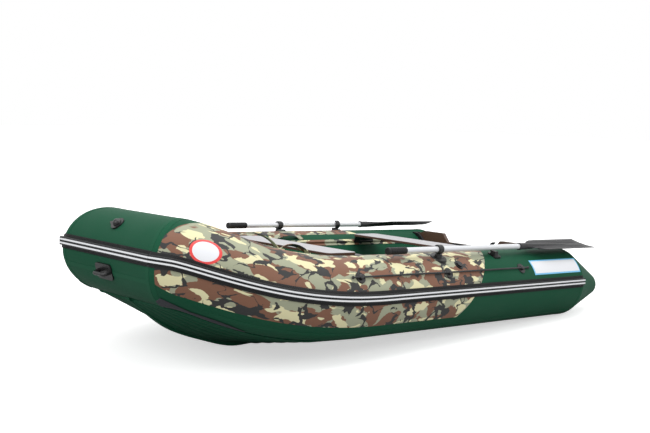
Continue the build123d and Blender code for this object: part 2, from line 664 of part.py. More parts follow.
def straight_core(x, length):
    """A stretch of the straight side tube, grown by the glue line."""
    return Pos(x, TUBE_Y, TUBE_Z) * Rot(0, 90, 0) * Cylinder(TUBE_R + GLUE, length)


def make_rowlock_base():
    """Rubber base of the rowlock: a wide foot on the tube and an upright boss with the pin's bore."""
    skin = skin_top(OAR_Y)
    top = OAR_Z - SHAFT_R - FIT - LOCK_WALL - GLUE
    foot = tube_plane(OAR_X, math.degrees(math.acos((OAR_Y - TUBE_Y) / TUBE_R)))
    disc = foot * extrude(Circle(LOCK_PAD_R), amount=LOCK_PAD_THICK, taper=20)
    skirt = foot * extrude(Circle(LOCK_PAD_R), amount=-LOCK_PAD_THICK)
    height = top - skin + LOCK_PAD_THICK
    boss = Pos(OAR_X, OAR_Y, top - height / 2) * Cylinder(LOCK_BOSS_R, height)
    depth = LOCK_PIN_DEPTH + 1
    bore = Pos(OAR_X, OAR_Y, top - depth / 2) * Cylinder(LOCK_PIN_R + LOCK_PIN_FIT, depth)
    return disc + skirt + boss - straight_core(OAR_X, 6 * LOCK_PAD_R) - bore


def make_rowlock():
    """Rowlock: a collar round the oar's shaft on a short upright pin."""
    outer = SHAFT_R + FIT + LOCK_WALL
    collar = Pos(OAR_X, OAR_Y, OAR_Z) * Rot(0, 90, 0) * Cylinder(outer, LOCK_LENGTH)
    collar = fillet(collar.edges(), LOCK_WALL / 3)
    pin = Pos(OAR_X, OAR_Y, OAR_Z - outer - LOCK_PIN_DEPTH / 2 + LOCK_WALL / 2)
    pin = pin * Cylinder(LOCK_PIN_R, LOCK_PIN_DEPTH + LOCK_WALL)
    sleeve = Pos(OAR_X, OAR_Y, OAR_Z) * Rot(0, 90, 0) * Cylinder(SHAFT_R + FIT, 2 * LOCK_LENGTH)
    return collar + pin - sleeve


def make_shaft():
    """Alloy tube of the oar, from inside the grip to inside the blade's socket."""
    fore = OAR_X + SHAFT_FORE - GRIP_R
    aft = OAR_X - SHAFT_AFT + BLADE_LENGTH - BLADE_SOCKET_LENGTH * 2 / 3
    length = fore - aft
    rod = Pos((fore + aft) / 2, OAR_Y, OAR_Z) * Rot(0, 90, 0)
    return rod * Cylinder(SHAFT_R, length)


def make_grip():
    """Rubber hand grip: a closed sleeve with shallow rings."""
    fore = OAR_X + SHAFT_FORE
    aft = fore - GRIP_LENGTH
    body = Pos((fore + aft) / 2, OAR_Y, OAR_Z) * Rot(0, 90, 0) * Cylinder(GRIP_R, GRIP_LENGTH)
    body = fillet(body.edges(), GRIP_R / 5)
    pitch = GRIP_LENGTH / (GRIP_RINGS + 2)
    for i in range(GRIP_RINGS):
        x = aft + pitch * (i + 1.5)
        ring = Pos(x, OAR_Y, OAR_Z) * Rot(0, 90, 0)
        body -= ring * (Cylinder(GRIP_R * 2, pitch / 4) - Cylinder(GRIP_R - GRIP_GROOVE, pitch / 2))
    depth = GRIP_LENGTH - GRIP_R + GLUE
    socket = Pos(aft + depth / 2, OAR_Y, OAR_Z) * Rot(0, 90, 0) * Cylinder(SHAFT_R + GLUE, depth)
    return body - socket


def make_blade():
    """Moulded blade: socket, flat web with a slanted tip, and stiffening ribs on both faces."""
    mouth = OAR_X - SHAFT_AFT + BLADE_LENGTH
    tip = OAR_X - SHAFT_AFT
    half = BLADE_WIDTH / 2
    start = mouth - BLADE_SOCKET_LENGTH / 3
    outline = Polyline(
        (start, OAR_Y + BLADE_SOCKET_R / 2),
        (mouth - BLADE_SHOULDER, OAR_Y + half),
        (tip, OAR_Y + half),
        (tip + BLADE_SLANT, OAR_Y - half),
        (mouth - BLADE_SHOULDER, OAR_Y - half),
        (start, OAR_Y - BLADE_SOCKET_R / 2),
        close=True,
    )
    web = make_face(outline)
    web = fillet([v for v in web.vertices() if v.X < mouth - BLADE_SHOULDER + 1], BLADE_SOCKET_R)
    body = extrude(Plane(origin=(0, 0, OAR_Z)) * web, amount=BLADE_THICK / 2, both=True)
    spine_end = tip + BLADE_LENGTH / 4
    spine = loft([
        Plane(origin=(start, OAR_Y, OAR_Z), z_dir=(-1, 0, 0)) * Circle(BLADE_SOCKET_R),
        Plane(origin=(spine_end, OAR_Y, OAR_Z), z_dir=(-1, 0, 0)) * Circle(BLADE_THICK),
    ])
    body += spine
    socket = Pos((mouth + start) / 2, OAR_Y, OAR_Z) * Rot(0, 90, 0)
    body += socket * Cylinder(BLADE_SOCKET_R, mouth - start)
    rib_x0, rib_x1 = tip + 2 * BLADE_SLANT, mouth - BLADE_SHOULDER
    rib_high = BLADE_THICK + 2 * BLADE_RIB
    for side in (-1, 1):
        for share in (0.34, 0.64):
            rib = Box(rib_x1 - rib_x0, BLADE_THICK, rib_high)
            body += Pos((rib_x0 + rib_x1) / 2, OAR_Y + side * share * half, OAR_Z) * rib
    depth = BLADE_SOCKET_LENGTH * 2 / 3 + GLUE
    bore = Pos(mouth - depth / 2, OAR_Y, OAR_Z) * Rot(0, 90, 0) * Cylinder(SHAFT_R + GLUE, depth)
    return body - bore


def make_clip():
    """Oar clip: a foot on the tube, a seat under the shaft and a horn on its inboard side."""
    angle = math.degrees(math.acos((OAR_Y - TUBE_Y) / TUBE_R))
    foot = tube_plane(CLIP_X, angle)
    pad = extrude(foot * RectangleRounded(CLIP_PAD, CLIP_PAD, 12), amount=CLIP_WALL)
    pad += extrude(foot * RectangleRounded(CLIP_PAD, CLIP_PAD, 12), amount=-CLIP_WALL)
    u, v = OAR_Y - TUBE_Y, OAR_Z - TUBE_Z
    hole = SHAFT_R + SWING_GAP
    ring = Circle(hole + CLIP_WALL) - Circle(hole)
    keep_low = Pos(0, -2 * hole + 0.2 * hole) * Rectangle(4 * hole, 2.4 * hole)
    inboard = Pos(-2 * hole, 0) * Rectangle(4 * hole - SHAFT_R, 3 * hole)
    shape = ring & (keep_low + inboard)
    outboard = Pos(2 * hole, 0) * Rectangle(3 * hole, 2 * hole)
    low_open = Pos(2 * hole, 0) * Rectangle(4 * hole, 2 * (SHAFT_R + SWING_GAP))
    shape = shape - outboard - low_open
    stem_top = v - hole - CLIP_WALL / 2
    stem_low = skin_top(OAR_Y) - TUBE_Z - CLIP_WALL
    stem = Pos(u, (stem_top + stem_low) / 2) * Rectangle(CLIP_PAD / 2, stem_top - stem_low)
    section = Pos(u, v) * shape + stem
    hook = extrude(side_plane(CLIP_X - CLIP_LENGTH / 2) * section, amount=CLIP_LENGTH)
    return (pad + hook - straight_core(CLIP_X, 4 * CLIP_PAD)).solids().sort_by(SortBy.VOLUME)[-1]


def make_bow_eye():
    """Bow eye: a tear-shaped foot with a domed boss and a loose-looking ring moulded to it."""
    plane = bow_plane(0, BOW_EYE_ANGLE)
    head = Circle(BOW_EYE_R)
    tail = make_face(Polyline((0, BOW_EYE_R), (BOW_EYE_TAIL, 0), (0, -BOW_EYE_R), close=True))
    foot = extrude(plane * (head + tail), amount=BOW_EYE_THICK)
    foot += extrude(plane * (head + tail), amount=-BOW_EYE_TAIL / 4)
    dome = plane * Pos(0, 0, BOW_EYE_THICK) * Sphere(BOW_EYE_R * 0.6)
    ring = plane * Pos(0, 0, BOW_EYE_THICK + BOW_EYE_R * 0.4) * Torus(BOW_RING_R + BOW_RING_ROD, BOW_RING_ROD)
    core = Pos(BOW_X, 0, BOW_Z) * Rot(90, 0, 0) * Cylinder(TUBE_R + GLUE, 8 * BOW_EYE_TAIL)
    return (foot + dome + ring - core).solids().sort_by(SortBy.VOLUME)[-1]


def make_tow_handle():
    """Moulded bow handle: a rounded base plate and a stout grip with a finger gap behind it."""
    plane = bow_plane(0, TOW_ANGLE)
    outline = RectangleRounded(2 * TOW_HALF, TOW_HEIGHT, TOW_HEIGHT / 4)
    plate = extrude(plane * outline, amount=TOW_THICK)
    plate += extrude(plane * outline, amount=-2 * TOW_THICK)
    reach = TOW_HALF - 2 * TOW_GRIP_R
    low = Vector(-reach, 0, 0)
    path = FilletPolyline(
        (-reach, 0, 0), (-reach + TOW_GRIP_R / 2, 0, TOW_STAND), (reach - TOW_GRIP_R / 2, 0, TOW_STAND),
        (reach, 0, 0), radius=TOW_GRIP_R * 3 / 2,
    )
    grip = sweep(Plane(origin=low, z_dir=path % 0) * Circle(TOW_GRIP_R), path=path)
    core = Pos(BOW_X, 0, BOW_Z) * Rot(90, 0, 0) * Cylinder(TUBE_R + GLUE, 4 * TOW_HALF)
    return (plate + plane * grip - core).solids().sort_by(SortBy.VOLUME)[-1]


def cone_plane(x, angle):
    """Plane on the stern cone's skin, x_dir towards its tip."""
    share = (TUBE_AFT_X - x) / CONE_LENGTH
    radius = TUBE_R + (CONE_TIP_R - TUBE_R) * share
    cos, sin = on_arc(angle)
    centre = Vector(x, TUBE_Y, TUBE_Z - CONE_DROP * share)
    along = unit(Vector(-CONE_LENGTH, (CONE_TIP_R - TUBE_R) * cos, (CONE_TIP_R - TUBE_R) * sin - CONE_DROP))
    around = Vector(0, -sin, cos)
    normal = unit(along.cross(around))
    if normal.Z * sin < 0:
        normal = normal * -1
    return Plane(origin=centre + Vector(0, cos, sin) * radius, x_dir=along, z_dir=normal)


def make_stern_handle(cone):
    """Rope-cored grab handle along the inboard side of the stern cone."""
    aft = cone_plane(STERN_HANDLE_X - STERN_HANDLE_HALF, STERN_HANDLE_ANGLE)
    fore = cone_plane(STERN_HANDLE_X + STERN_HANDLE_HALF, STERN_HANDLE_ANGLE)
    crown = cone_plane(STERN_HANDLE_X, STERN_HANDLE_ANGLE)
    start = aft.origin
    arch = ThreePointArc(start, crown.origin + crown.z_dir * STERN_HANDLE_RISE, fore.origin)
    body = sweep(Plane(origin=start, z_dir=arch % 0) * Circle(STERN_HANDLE_ROD), path=arch)
    for plane in (aft, fore):
        body += extrude(plane * RectangleRounded(2 * STERN_TAB, STERN_TAB, 6), amount=HOLDER_THICK, both=True)
    return (body - cone).solids().sort_by(SortBy.VOLUME)[-1]


def grown_cone():
    """The stern cone's skin, grown by the glue line."""
    start = Plane(origin=(TUBE_AFT_X, TUBE_Y, TUBE_Z), z_dir=(-1, 0, 0)) * Circle(TUBE_R + GLUE)
    tip = (TUBE_AFT_X - CONE_LENGTH, TUBE_Y, TUBE_Z - CONE_DROP)
    return loft([start, Plane(origin=tip, z_dir=(-1, 0, 0)) * Circle(CONE_TIP_R + GLUE)], ruled=True)


def build_port():
    """Every piece that the hull has on both sides, as built on the port side."""
    port = {}
    port["side_tube"] = carried(Circle(TUBE_R), TUBE_AFT_X, False)
    port["stern_cone"] = make_cone()
    port["rub_strake"] = carried(strake_sketch(STRAKE_LIFT), STRAKE_AFT_X, True)
    port["rub_stripes"] = carried(stripe_sketch(STRAKE_LIFT), STRAKE_AFT_X, True)
    port["chine_strip"] = make_chine_strip(CHINE_STRIP_THICK)
    port["transom_mount"] = make_transom_mount()
    port["stern_eye"] = make_stern_eye()
    port["seat_rail"] = make_seat_rail()
    port["seat_brackets"] = Compound([make_seat_bracket(THWART_FRONT_X - 60), make_seat_bracket(THWART_AFT_X)])
    port["grab_loops"] = Compound([make_loop(i) for i in range(len(LOOP_X))])
    port["rope_holders"] = Compound([make_holder(x) for x in HOLDER_X])
    port["lifeline"] = make_lifeline()
    port["valve"] = make_valve()
    port["rowlock_base"] = make_rowlock_base()
    port["oar_clip"] = make_clip()
    port["stern_handle"] = make_stern_handle(grown_cone())
    port["rowlock"] = make_rowlock()
    port["oar_shaft"] = make_shaft()
    port["oar_grip"] = make_grip()
    port["oar_blade"] = make_blade()
    return port


def build_middle():
    """The pieces on the hull's middle line."""
    grown = carried(Circle(TUBE_R + GLUE), TUBE_AFT_X, False)
    cutters = [grown, starboard(grown), across_bow(Circle(TUBE_R + GLUE))]
    patch = make_chine_strip(CHINE_STRIP_THICK + GLUE)
    bow_lift = STRAKE_LIFT + MITRE_CLIMB
    strip = make_keel_strip()
    for cutter in cutters:
        strip -= cutter
    middle = {}
    middle["bow_tube"] = across_bow(Circle(TUBE_R))
    middle["rub_strake_bow"] = across_bow(strake_sketch(bow_lift))
    middle["rub_stripes_bow"] = across_bow(stripe_sketch(bow_lift))
    middle["keel_strip"] = strip
    middle["hull_bottom"] = make_bottom(cutters + [patch, starboard(patch)], strip)
    middle["transom"] = make_transom()
    middle["transom_pad_outer"] = make_pad(TRANSOM_AFT_X - GLUE, PAD_DROP, -1)
    middle["transom_pad_inner"] = make_pad(TRANSOM_AFT_X + TRANSOM_THICK + GLUE, PAD_INNER_DROP, 1)
    middle["drain_plug"] = make_drain_plug()
    middle["thwart_front"] = make_thwart(THWART_FRONT_X)
    middle["thwart_aft"] = make_thwart(THWART_AFT_X)
    middle["bow_eye"] = make_bow_eye()
    middle["tow_handle"] = make_tow_handle()
    return middle


def main():
    os.makedirs("parts", exist_ok=True)
    pieces = build_middle()
    for name, shape in build_port().items():
        pieces[name + "_port"] = shape
        pieces[name + "_starboard"] = starboard(shape)
    pieces = {name: Rot(0, -TRIM, 0) * shape for name, shape in pieces.items()}
    boxes = [shape.bounding_box() for shape in pieces.values()]
    low_x = min(box.min.X for box in boxes)
    high_x = max(box.max.X for box in boxes)
    low_z = min(box.min.Z for box in boxes)
    seat = Pos(-(low_x + high_x) / 2, 0, -low_z)
    print("trim", TRIM, "shift", -(low_x + high_x) / 2, -low_z)
    for name, shape in pieces.items():
        export_step(seat * shape, f"parts/{name}.step")


if __name__ == "__main__":
    main()
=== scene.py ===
"""Looks of the inflatable boat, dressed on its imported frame.

Tube skins, camouflage panels, seam tapes, strake ribs, ropes, plates, transom holders and oar
blades are built here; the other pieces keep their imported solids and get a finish. Lengths are in
metres. Points on the hull are worked out in its own frame (X to the bow, Y to port) and then
trimmed bow-up. Angles round a side tube are degrees from outboard, over the top.
"""

import logging
import math
from dataclasses import dataclass, field
from enum import Enum
from typing import Callable, Sequence

import bmesh
import bpy
from mathutils import Matrix, Vector


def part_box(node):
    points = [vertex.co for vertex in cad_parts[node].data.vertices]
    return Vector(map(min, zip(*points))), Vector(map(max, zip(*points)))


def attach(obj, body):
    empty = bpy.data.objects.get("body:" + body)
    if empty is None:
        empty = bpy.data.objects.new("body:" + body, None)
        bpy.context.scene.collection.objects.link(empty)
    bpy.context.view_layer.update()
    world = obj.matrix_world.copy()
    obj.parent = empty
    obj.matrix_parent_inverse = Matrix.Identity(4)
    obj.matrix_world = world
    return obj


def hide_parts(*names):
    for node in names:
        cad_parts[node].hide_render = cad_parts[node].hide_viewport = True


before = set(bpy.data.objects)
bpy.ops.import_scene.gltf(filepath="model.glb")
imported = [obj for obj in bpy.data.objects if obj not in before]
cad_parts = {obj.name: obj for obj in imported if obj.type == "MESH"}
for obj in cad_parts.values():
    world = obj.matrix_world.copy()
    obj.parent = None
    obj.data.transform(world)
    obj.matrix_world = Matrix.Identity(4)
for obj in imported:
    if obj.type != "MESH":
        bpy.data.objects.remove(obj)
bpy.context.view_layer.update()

LOG = logging.getLogger("boat")
TRIM = math.atan2(0.114, 2.040)
TRIM_SHIFT = Vector((0.001266, 0.0, 0.0592018))
PORT, STARBOARD = 1, -1
SIDE_NAMES = {PORT: "port", STARBOARD: "starboard"}
HULL = "hull"
SKIN_UV = "skin"
WHITE = (1.0, 1.0, 1.0, 1.0)
HAIR = 0.0004                 # a step too small to see, so that two faces never coincide
HALVINGS = 40
MERGE = 1e-6                  # points closer than this become one
NEAR_PARALLEL = 0.95          # the cosine from which two ways count as one

Color = tuple[float, float, float, float]
Place = tuple[Vector, Matrix]
Rows = Sequence[Sequence[Vector]]
Span = Callable[[float], float]
Value = object                # a node socket, or a plain number, colour or vector


def srgb(red: float, green: float, blue: float) -> Color:
    """Turns a screen colour into linear values.

    Args:
        red, green, blue: The colour from 0 to 255.

    Returns:
        Linear red, green, blue and an alpha of one.
    """
    linear = [((c / 255 + 0.055) / 1.055) ** 2.4 if c > 10 else c / 255 / 12.92
              for c in (red, green, blue)]
    return linear[0], linear[1], linear[2], 1.0


def row(point: Vector, side: int = PORT) -> Vector:
    """Trims a point of the hull.

    Args:
        point: The point on the port side, in the hull's frame.
        side: The side on which it is wanted.

    Returns:
        The point as the boat stands.
    """
    cos, sin = math.cos(TRIM), math.sin(TRIM)
    x, z = point.x * cos - point.z * sin, point.x * sin + point.z * cos
    return Vector((x, point.y * side, z)) + TRIM_SHIFT


def turned(along: Vector, normal: Vector, side: int) -> Matrix:
    """The turn of a block on the hull.

    Args:
        along: The way its length runs, in the hull's frame.
        normal: The way its height stands.
        side: Port or starboard.

    Returns:
        The turn as the boat stands, never a mirrored one.
    """
    ends = [row(v, side) - TRIM_SHIFT for v in (along, normal.cross(along), normal)]
    if side == STARBOARD:
        ends[1] = -ends[1]
    return Matrix(ends).transposed()


def circle(count: int) -> list[float]:
    """Equal turns round a circle, in radians."""
    return [2 * math.pi * j / count for j in range(count)]


def clamp(value: float) -> float:
    """A number held between 0 and 1."""
    return min(max(value, 0.0), 1.0)


def halve(short: Callable[[float], bool], low: float, high: float) -> float:
    """Finds where a test turns from true to false.

    Args:
        short: The test.
        low, high: The ends between which it turns.

    Returns:
        The place.
    """
    for _ in range(HALVINGS):
        middle = (low + high) / 2
        low, high = (middle, high) if short(middle) else (low, middle)
    return low


class Material(str, Enum):
    """The finishes that pieces of the boat are given."""

    PVC = "hull_pvc"
    CAMO = "hull_camo"
    CAMO_SOLID = "camo_on_object"
    SEAM = "seam_green"
    BLACK_RUBBER = "black_rubber"
    PALE_RUBBER = "pale_rubber"
    GREY_RUBBER = "grey_rubber"
    PLYWOOD = "plywood"
    THWART = "thwart_ply"
    BLACK_PLASTIC = "black_plastic"
    BLADE = "blade_black"
    STEEL = "steel"
    ALLOY = "alloy"
    ROPE = "rope"
    BADGE_WHITE = "badge_white"
    BADGE_RED = "badge_red"
    PLATE_BLUE = "plate_blue"


# ---- shader helpers


class Shader:
    """A small hand for writing one node tree."""

    def __init__(self, tree: bpy.types.NodeTree) -> None:
        """Keeps the tree that nodes go into."""
        self.tree = tree

    def add(self, kind: str, **settings: object) -> bpy.types.Node:
        """Adds a node.

        Args:
            kind: The node's type name, without ShaderNode before it.
            settings: Its properties.

        Returns:
            The node.
        """
        node = self.tree.nodes.new(kind if kind.startswith("Node") else f"ShaderNode{kind}")
        for name, value in settings.items():
            setattr(node, name, value)
        return node

    def put(self, node: bpy.types.Node, values: dict[str | int, Value]) -> bpy.types.Node:
        """Fills inputs of a node.

        Args:
            node: The node.
            values: For each input, a socket to link or a plain value to write.

        Returns:
            The same node.
        """
        for name, value in values.items():
            if isinstance(value, bpy.types.NodeSocket):
                self.tree.links.new(value, node.inputs[name])
            else:
                node.inputs[name].default_value = value
        return node

    def math(self, kind: str, first: Value, second: Value = 0.0) -> bpy.types.NodeSocket:
        """The result of a Math node on two values."""
        return self.put(self.add("Math", operation=kind), {0: first, 1: second}).outputs[0]

    def vector(self, kind: str, first: Value, second: Value = (0, 0, 0),
               scale: Value = 1.0) -> bpy.types.NodeSocket:
        """The vector that a Vector Math node makes of two vectors, or of one and a scale."""
        node = self.add("VectorMath", operation=kind)
        return self.put(node, {0: first, 1: second, 3: scale}).outputs[0]

    def mix(self, factor: Value, first: Value, second: Value) -> bpy.types.NodeSocket:
        """Two colours mixed by a factor."""
        node = self.add("Mix", data_type="RGBA")
        return self.put(node, {0: factor, 6: first, 7: second}).outputs[2]

    def noise(self, vector: Value, scale: float, detail: float = 2.0,
              rough: float = 0.5) -> bpy.types.Node:
        """A Noise Texture node on a vector."""
        return self.put(self.add("TexNoise"), {"Vector": vector, "Scale": scale, "Detail": detail,
                                               "Roughness": rough})

    def ramp(self, value: Value, low: float, high: float) -> bpy.types.NodeSocket:
        """A value stretched from low..high to 0..1, held at its ends."""
        return self.put(self.add("MapRange"), {0: value, 1: low, 2: high}).outputs[0]

    def mapping(self, vector: Value, scale: tuple, turn: tuple = (0, 0, 0),
                move: tuple = (0, 0, 0)) -> bpy.types.NodeSocket:
        """A vector turned, scaled and moved by a Mapping node."""
        return self.put(self.add("Mapping"), {"Vector": vector, "Scale": scale, "Rotation": turn,
                                              "Location": move}).outputs[0]

    def bump(self, height: Value, distance: float,
             normal: bpy.types.NodeSocket | None = None) -> bpy.types.NodeSocket:
        """A normal from a height, over another normal where one is given."""
        values = {"Height": height, "Distance": distance} | ({"Normal": normal} if normal else {})
        return self.put(self.add("Bump"), values).outputs[0]


def make_group(name: str, inputs: dict[str, tuple[str, float]], outputs: dict[str, str],
               fill: Callable[[Shader, bpy.types.Node], Sequence[Value]]) -> bpy.types.NodeTree:
    """Builds a shader node group.

    Args:
        name: The group's name.
        inputs: Socket type and default of each input.
        outputs: Socket type of each output.
        fill: Adds the inner nodes and returns the sockets for the outputs.

    Returns:
        The group's tree.
    """
    tree = bpy.data.node_groups.new(name, "ShaderNodeTree")
    for label, (kind, value) in inputs.items():
        socket = tree.interface.new_socket(label, in_out="INPUT", socket_type=f"NodeSocket{kind}")
        if kind == "Float":
            socket.default_value = value
    for label, kind in outputs.items():
        tree.interface.new_socket(label, in_out="OUTPUT", socket_type=f"NodeSocket{kind}")
    shader = Shader(tree)
    start, end = shader.add("NodeGroupInput"), shader.add("NodeGroupOutput")
    shader.put(end, dict(enumerate(fill(shader, start))))
    return tree


@dataclass(frozen=True)
class Weave:
    """Two crossed thread waves, as a height from 0 to 1."""

    threads: float = 900.0

    def fill(self, shader: Shader, start: bpy.types.Node) -> list[Value]:
        """Adds the waves.

        Args:
            shader: The group's tree.
            start: Its inputs.

        Returns:
            The height.
        """
        scaled = shader.vector("SCALE", start.outputs["Vector"], scale=start.outputs["Threads"])
        x, y, z = shader.put(shader.add("SeparateXYZ"), {0: scaled}).outputs
        waves = [shader.math("SINE", shader.math("ADD", x, z)),
                 shader.math("SINE", shader.math("SUBTRACT", y, z))]
        high = shader.math("MULTIPLY", shader.math("MULTIPLY", *waves), 0.5)
        return [shader.math("ADD", high, 0.5)]

    def build(self) -> bpy.types.NodeTree:
        """The node group."""
        inputs = {"Vector": ("Vector", 0), "Threads": ("Float", self.threads)}
        return make_group("cloth_weave", inputs, {"Height": "Float"}, self.fill)


@dataclass(frozen=True)
class Ageing:
    """Broad tone changes of a colour, and fine dust."""

    amount: float = 0.2
    broad: float = 3.2            # noise scales
    fine: float = 160.0
    broad_from: tuple[float, float] = (0.30, 0.70)
    dust_from: tuple[float, float] = (0.45, 0.75)
    detail: float = 3.0
    paleness: float = 0.18
    pale: Color = (0.45, 0.47, 0.45, 1.0)

    def fill(self, shader: Shader, start: bpy.types.Node) -> list[Value]:
        """Adds both noises.

        Args:
            shader: The group's tree.
            start: Its inputs.

        Returns:
            The aged colour and the fine noise.
        """
        vector, colour, amount = (start.outputs[name] for name in ("Vector", "Color", "Amount"))
        broad = shader.noise(vector, self.broad, self.detail).outputs[0]
        fine = shader.noise(vector, self.fine, self.detail).outputs[0]
        tone = shader.math("MULTIPLY", shader.ramp(broad, *self.broad_from), amount)
        dust = shader.math("MULTIPLY", shader.ramp(fine, *self.dust_from), amount)
        pale = shader.mix(self.paleness, colour, self.pale)
        return [shader.mix(shader.math("ADD", tone, dust), colour, pale), fine]

    def build(self) -> bpy.types.NodeTree:
        """The node group."""
        inputs = {"Vector": ("Vector", 0), "Color": ("Color", 0), "Amount": ("Float", self.amount)}
        return make_group("ageing", inputs, {"Color": "Color", "Fine": "Float"}, self.fill)


@dataclass(frozen=True)
class Effects:
    """The node groups that several finishes share."""

    weave: bpy.types.NodeTree
    ageing: bpy.types.NodeTree


@dataclass(frozen=True)
class Finish:
    """A finish of one main colour with ageing, weave or grain."""

    name: Material
    color: Color
    roughness: float
    amount: float = 0.2           # how far broad tone changes and dust show
    threads: float = 0.0          # radians of cloth wave per metre, or none
    depth: float = 0.0002         # height of that wave, or of the grain
    grain: float = 0.0            # grain lumps per metre
    metallic: float = 0.0
    coat: float = 0.0
    coat_rough: float = 0.25
    sheen: float = 0.0
    specular: float = 0.5
    brushed: bool = False
    smoother: float = 0.07        # how far the fine noise takes the roughness down and up
    rougher: float = 0.10
    smoothest: float = 0.05
    streaks: tuple[float, float, float] = (6.0, 900.0, 900.0)
    streak_rough: float = 0.22

    def colour_of(self, shader: Shader, vector: Value) -> Value:
        """The finish's main colour before ageing."""
        return self.color

    def coordinates(self, shader: Shader) -> bpy.types.NodeSocket:
        """Object coordinates, the same for every piece of the boat."""
        return shader.add("TexCoord").outputs["Object"]

    def rough(self, shader: Shader, vector: Value, fine: Value) -> bpy.types.NodeSocket:
        """Roughness over the surface.

        Args:
            shader: The material's tree.
            vector: The finish's coordinates.
            fine: The fine noise.

        Returns:
            The roughness.
        """
        low = max(self.roughness - self.smoother, self.smoothest)
        spread = min(self.roughness + self.rougher, 1.0) - low
        if self.brushed:
            fine = shader.noise(shader.mapping(vector, self.streaks), 1.0).outputs[0]
            spread = self.streak_rough
        return shader.math("ADD", shader.math("MULTIPLY", fine, spread), low)

    def build(self, effects: Effects) -> bpy.types.Material:
        """Makes the material.

        Args:
            effects: The shared node groups.

        Returns:
            The material.
        """
        material = bpy.data.materials.new(self.name.value)
        material.use_nodes = True
        shader = Shader(material.node_tree)
        vector = self.coordinates(shader)
        aged = shader.put(shader.add("Group", node_tree=effects.ageing), {
            "Vector": vector, "Color": self.colour_of(shader, vector), "Amount": self.amount})
        principled = shader.put(material.node_tree.nodes["Principled BSDF"], {
            "Base Color": aged.outputs["Color"], "Metallic": self.metallic,
            "Roughness": self.rough(shader, vector, aged.outputs["Fine"]),
            "Coat Weight": self.coat, "Coat Roughness": self.coat_rough,
            "Sheen Weight": self.sheen, "Specular IOR Level": self.specular})
        normal = None
        if self.threads:
            weave = shader.put(shader.add("Group", node_tree=effects.weave), {
                "Vector": vector, "Threads": self.threads})
            normal = shader.bump(weave.outputs["Height"], self.depth)
        if self.grain:
            lumps = shader.noise(vector, self.grain).outputs[0]
            normal = shader.bump(lumps, self.depth, normal)
        if normal is not None:
            shader.put(principled, {"Normal": normal})
        return material


@dataclass(frozen=True)
class Print:
    """Where one noise of the camouflage lies, and how it is stretched."""

    scale: float
    move: tuple[float, float, float]
    turn: float
    stretch: float
    detail: float = 1.0


@dataclass(frozen=True)
class CamoFinish(Finish):
    """A woodland print of brown, sage, cream and charcoal patches with torn edges."""

    sage: Color = srgb(157, 160, 136)
    brown: Color = srgb(124, 86, 67)
    cream: Color = srgb(220, 214, 172)
    charcoal: Color = srgb(50, 50, 50)
    on_skin: bool = True          # on the tube's own map, or else on object coordinates
    ground: Print = Print(6.6, (3.1, 1.7, 0), 0.35, 1.3)
    pale: Print = Print(9.0, (7.3, 4.9, 0), -0.6, 1.9)
    line: Print = Print(10.0, (1.3, 9.2, 0), 0.8, 1.5)
    where: Print = Print(8.0, (5.7, 2.2, 0), 0.1, 1.0)
    brown_from: tuple[float, float] = (0.485, 0.493)
    cream_from: tuple[float, float] = (0.580, 0.588)
    lines_from: tuple[float, float] = (0.44, 0.60)
    line_width: float = 0.070
    line_edge: float = 0.004
    # the scale, reach and detail of each noise that bends the coordinates
    tears: tuple[tuple[float, float, float], ...] = (
        (6.0, 0.13, 1.0), (22.0, 0.040, 2.0), (70.0, 0.010, 2.0))

    def coordinates(self, shader: Shader) -> bpy.types.NodeSocket:
        """The tube skin's map in metres, or object coordinates."""
        return (shader.add("UVMap", uv_map=SKIN_UV).outputs[0] if self.on_skin
                else super().coordinates(shader))

    def noise(self, shader: Shader, vector: Value, cloth: Print) -> bpy.types.NodeSocket:
        """A noise on coordinates that are bent broadly and torn finely.

        Args:
            shader: The material's tree.
            vector: The plain coordinates.
            cloth: How this noise lies on them.

        Returns:
            The noise, whose patches end in points.
        """
        placed = shader.mapping(vector, (1.0, cloth.stretch, 1.0), (0, 0, cloth.turn), cloth.move)
        for scale, reach, detail in self.tears:
            bend = shader.noise(placed, scale, detail).outputs["Color"]
            bend = shader.vector("SUBTRACT", bend, (0.5, 0.5, 0.5))
            placed = shader.vector("ADD", placed, shader.vector("SCALE", bend, scale=reach))
        return shader.noise(placed, cloth.scale, cloth.detail).outputs[0]

    def colour_of(self, shader: Shader, vector: Value) -> bpy.types.NodeSocket:
        """The four printed colours laid over each other.

        Args:
            shader: The material's tree.
            vector: The finish's coordinates.

        Returns:
            The colour.
        """
        ground, pale, line, where = (self.noise(shader, vector, cloth) for cloth in (
            self.ground, self.pale, self.line, self.where))
        colour = shader.mix(shader.ramp(ground, *self.brown_from), self.sage, self.brown)
        colour = shader.mix(shader.ramp(pale, *self.cream_from), colour, self.cream)
        near = shader.math("ABSOLUTE", shader.math("SUBTRACT", line, 0.5))
        width = shader.math("MULTIPLY", shader.ramp(where, *self.lines_from), self.line_width)
        stroke = shader.ramp(shader.math("SUBTRACT", width, near), 0.0, self.line_edge)
        return shader.mix(stroke, colour, self.charcoal)


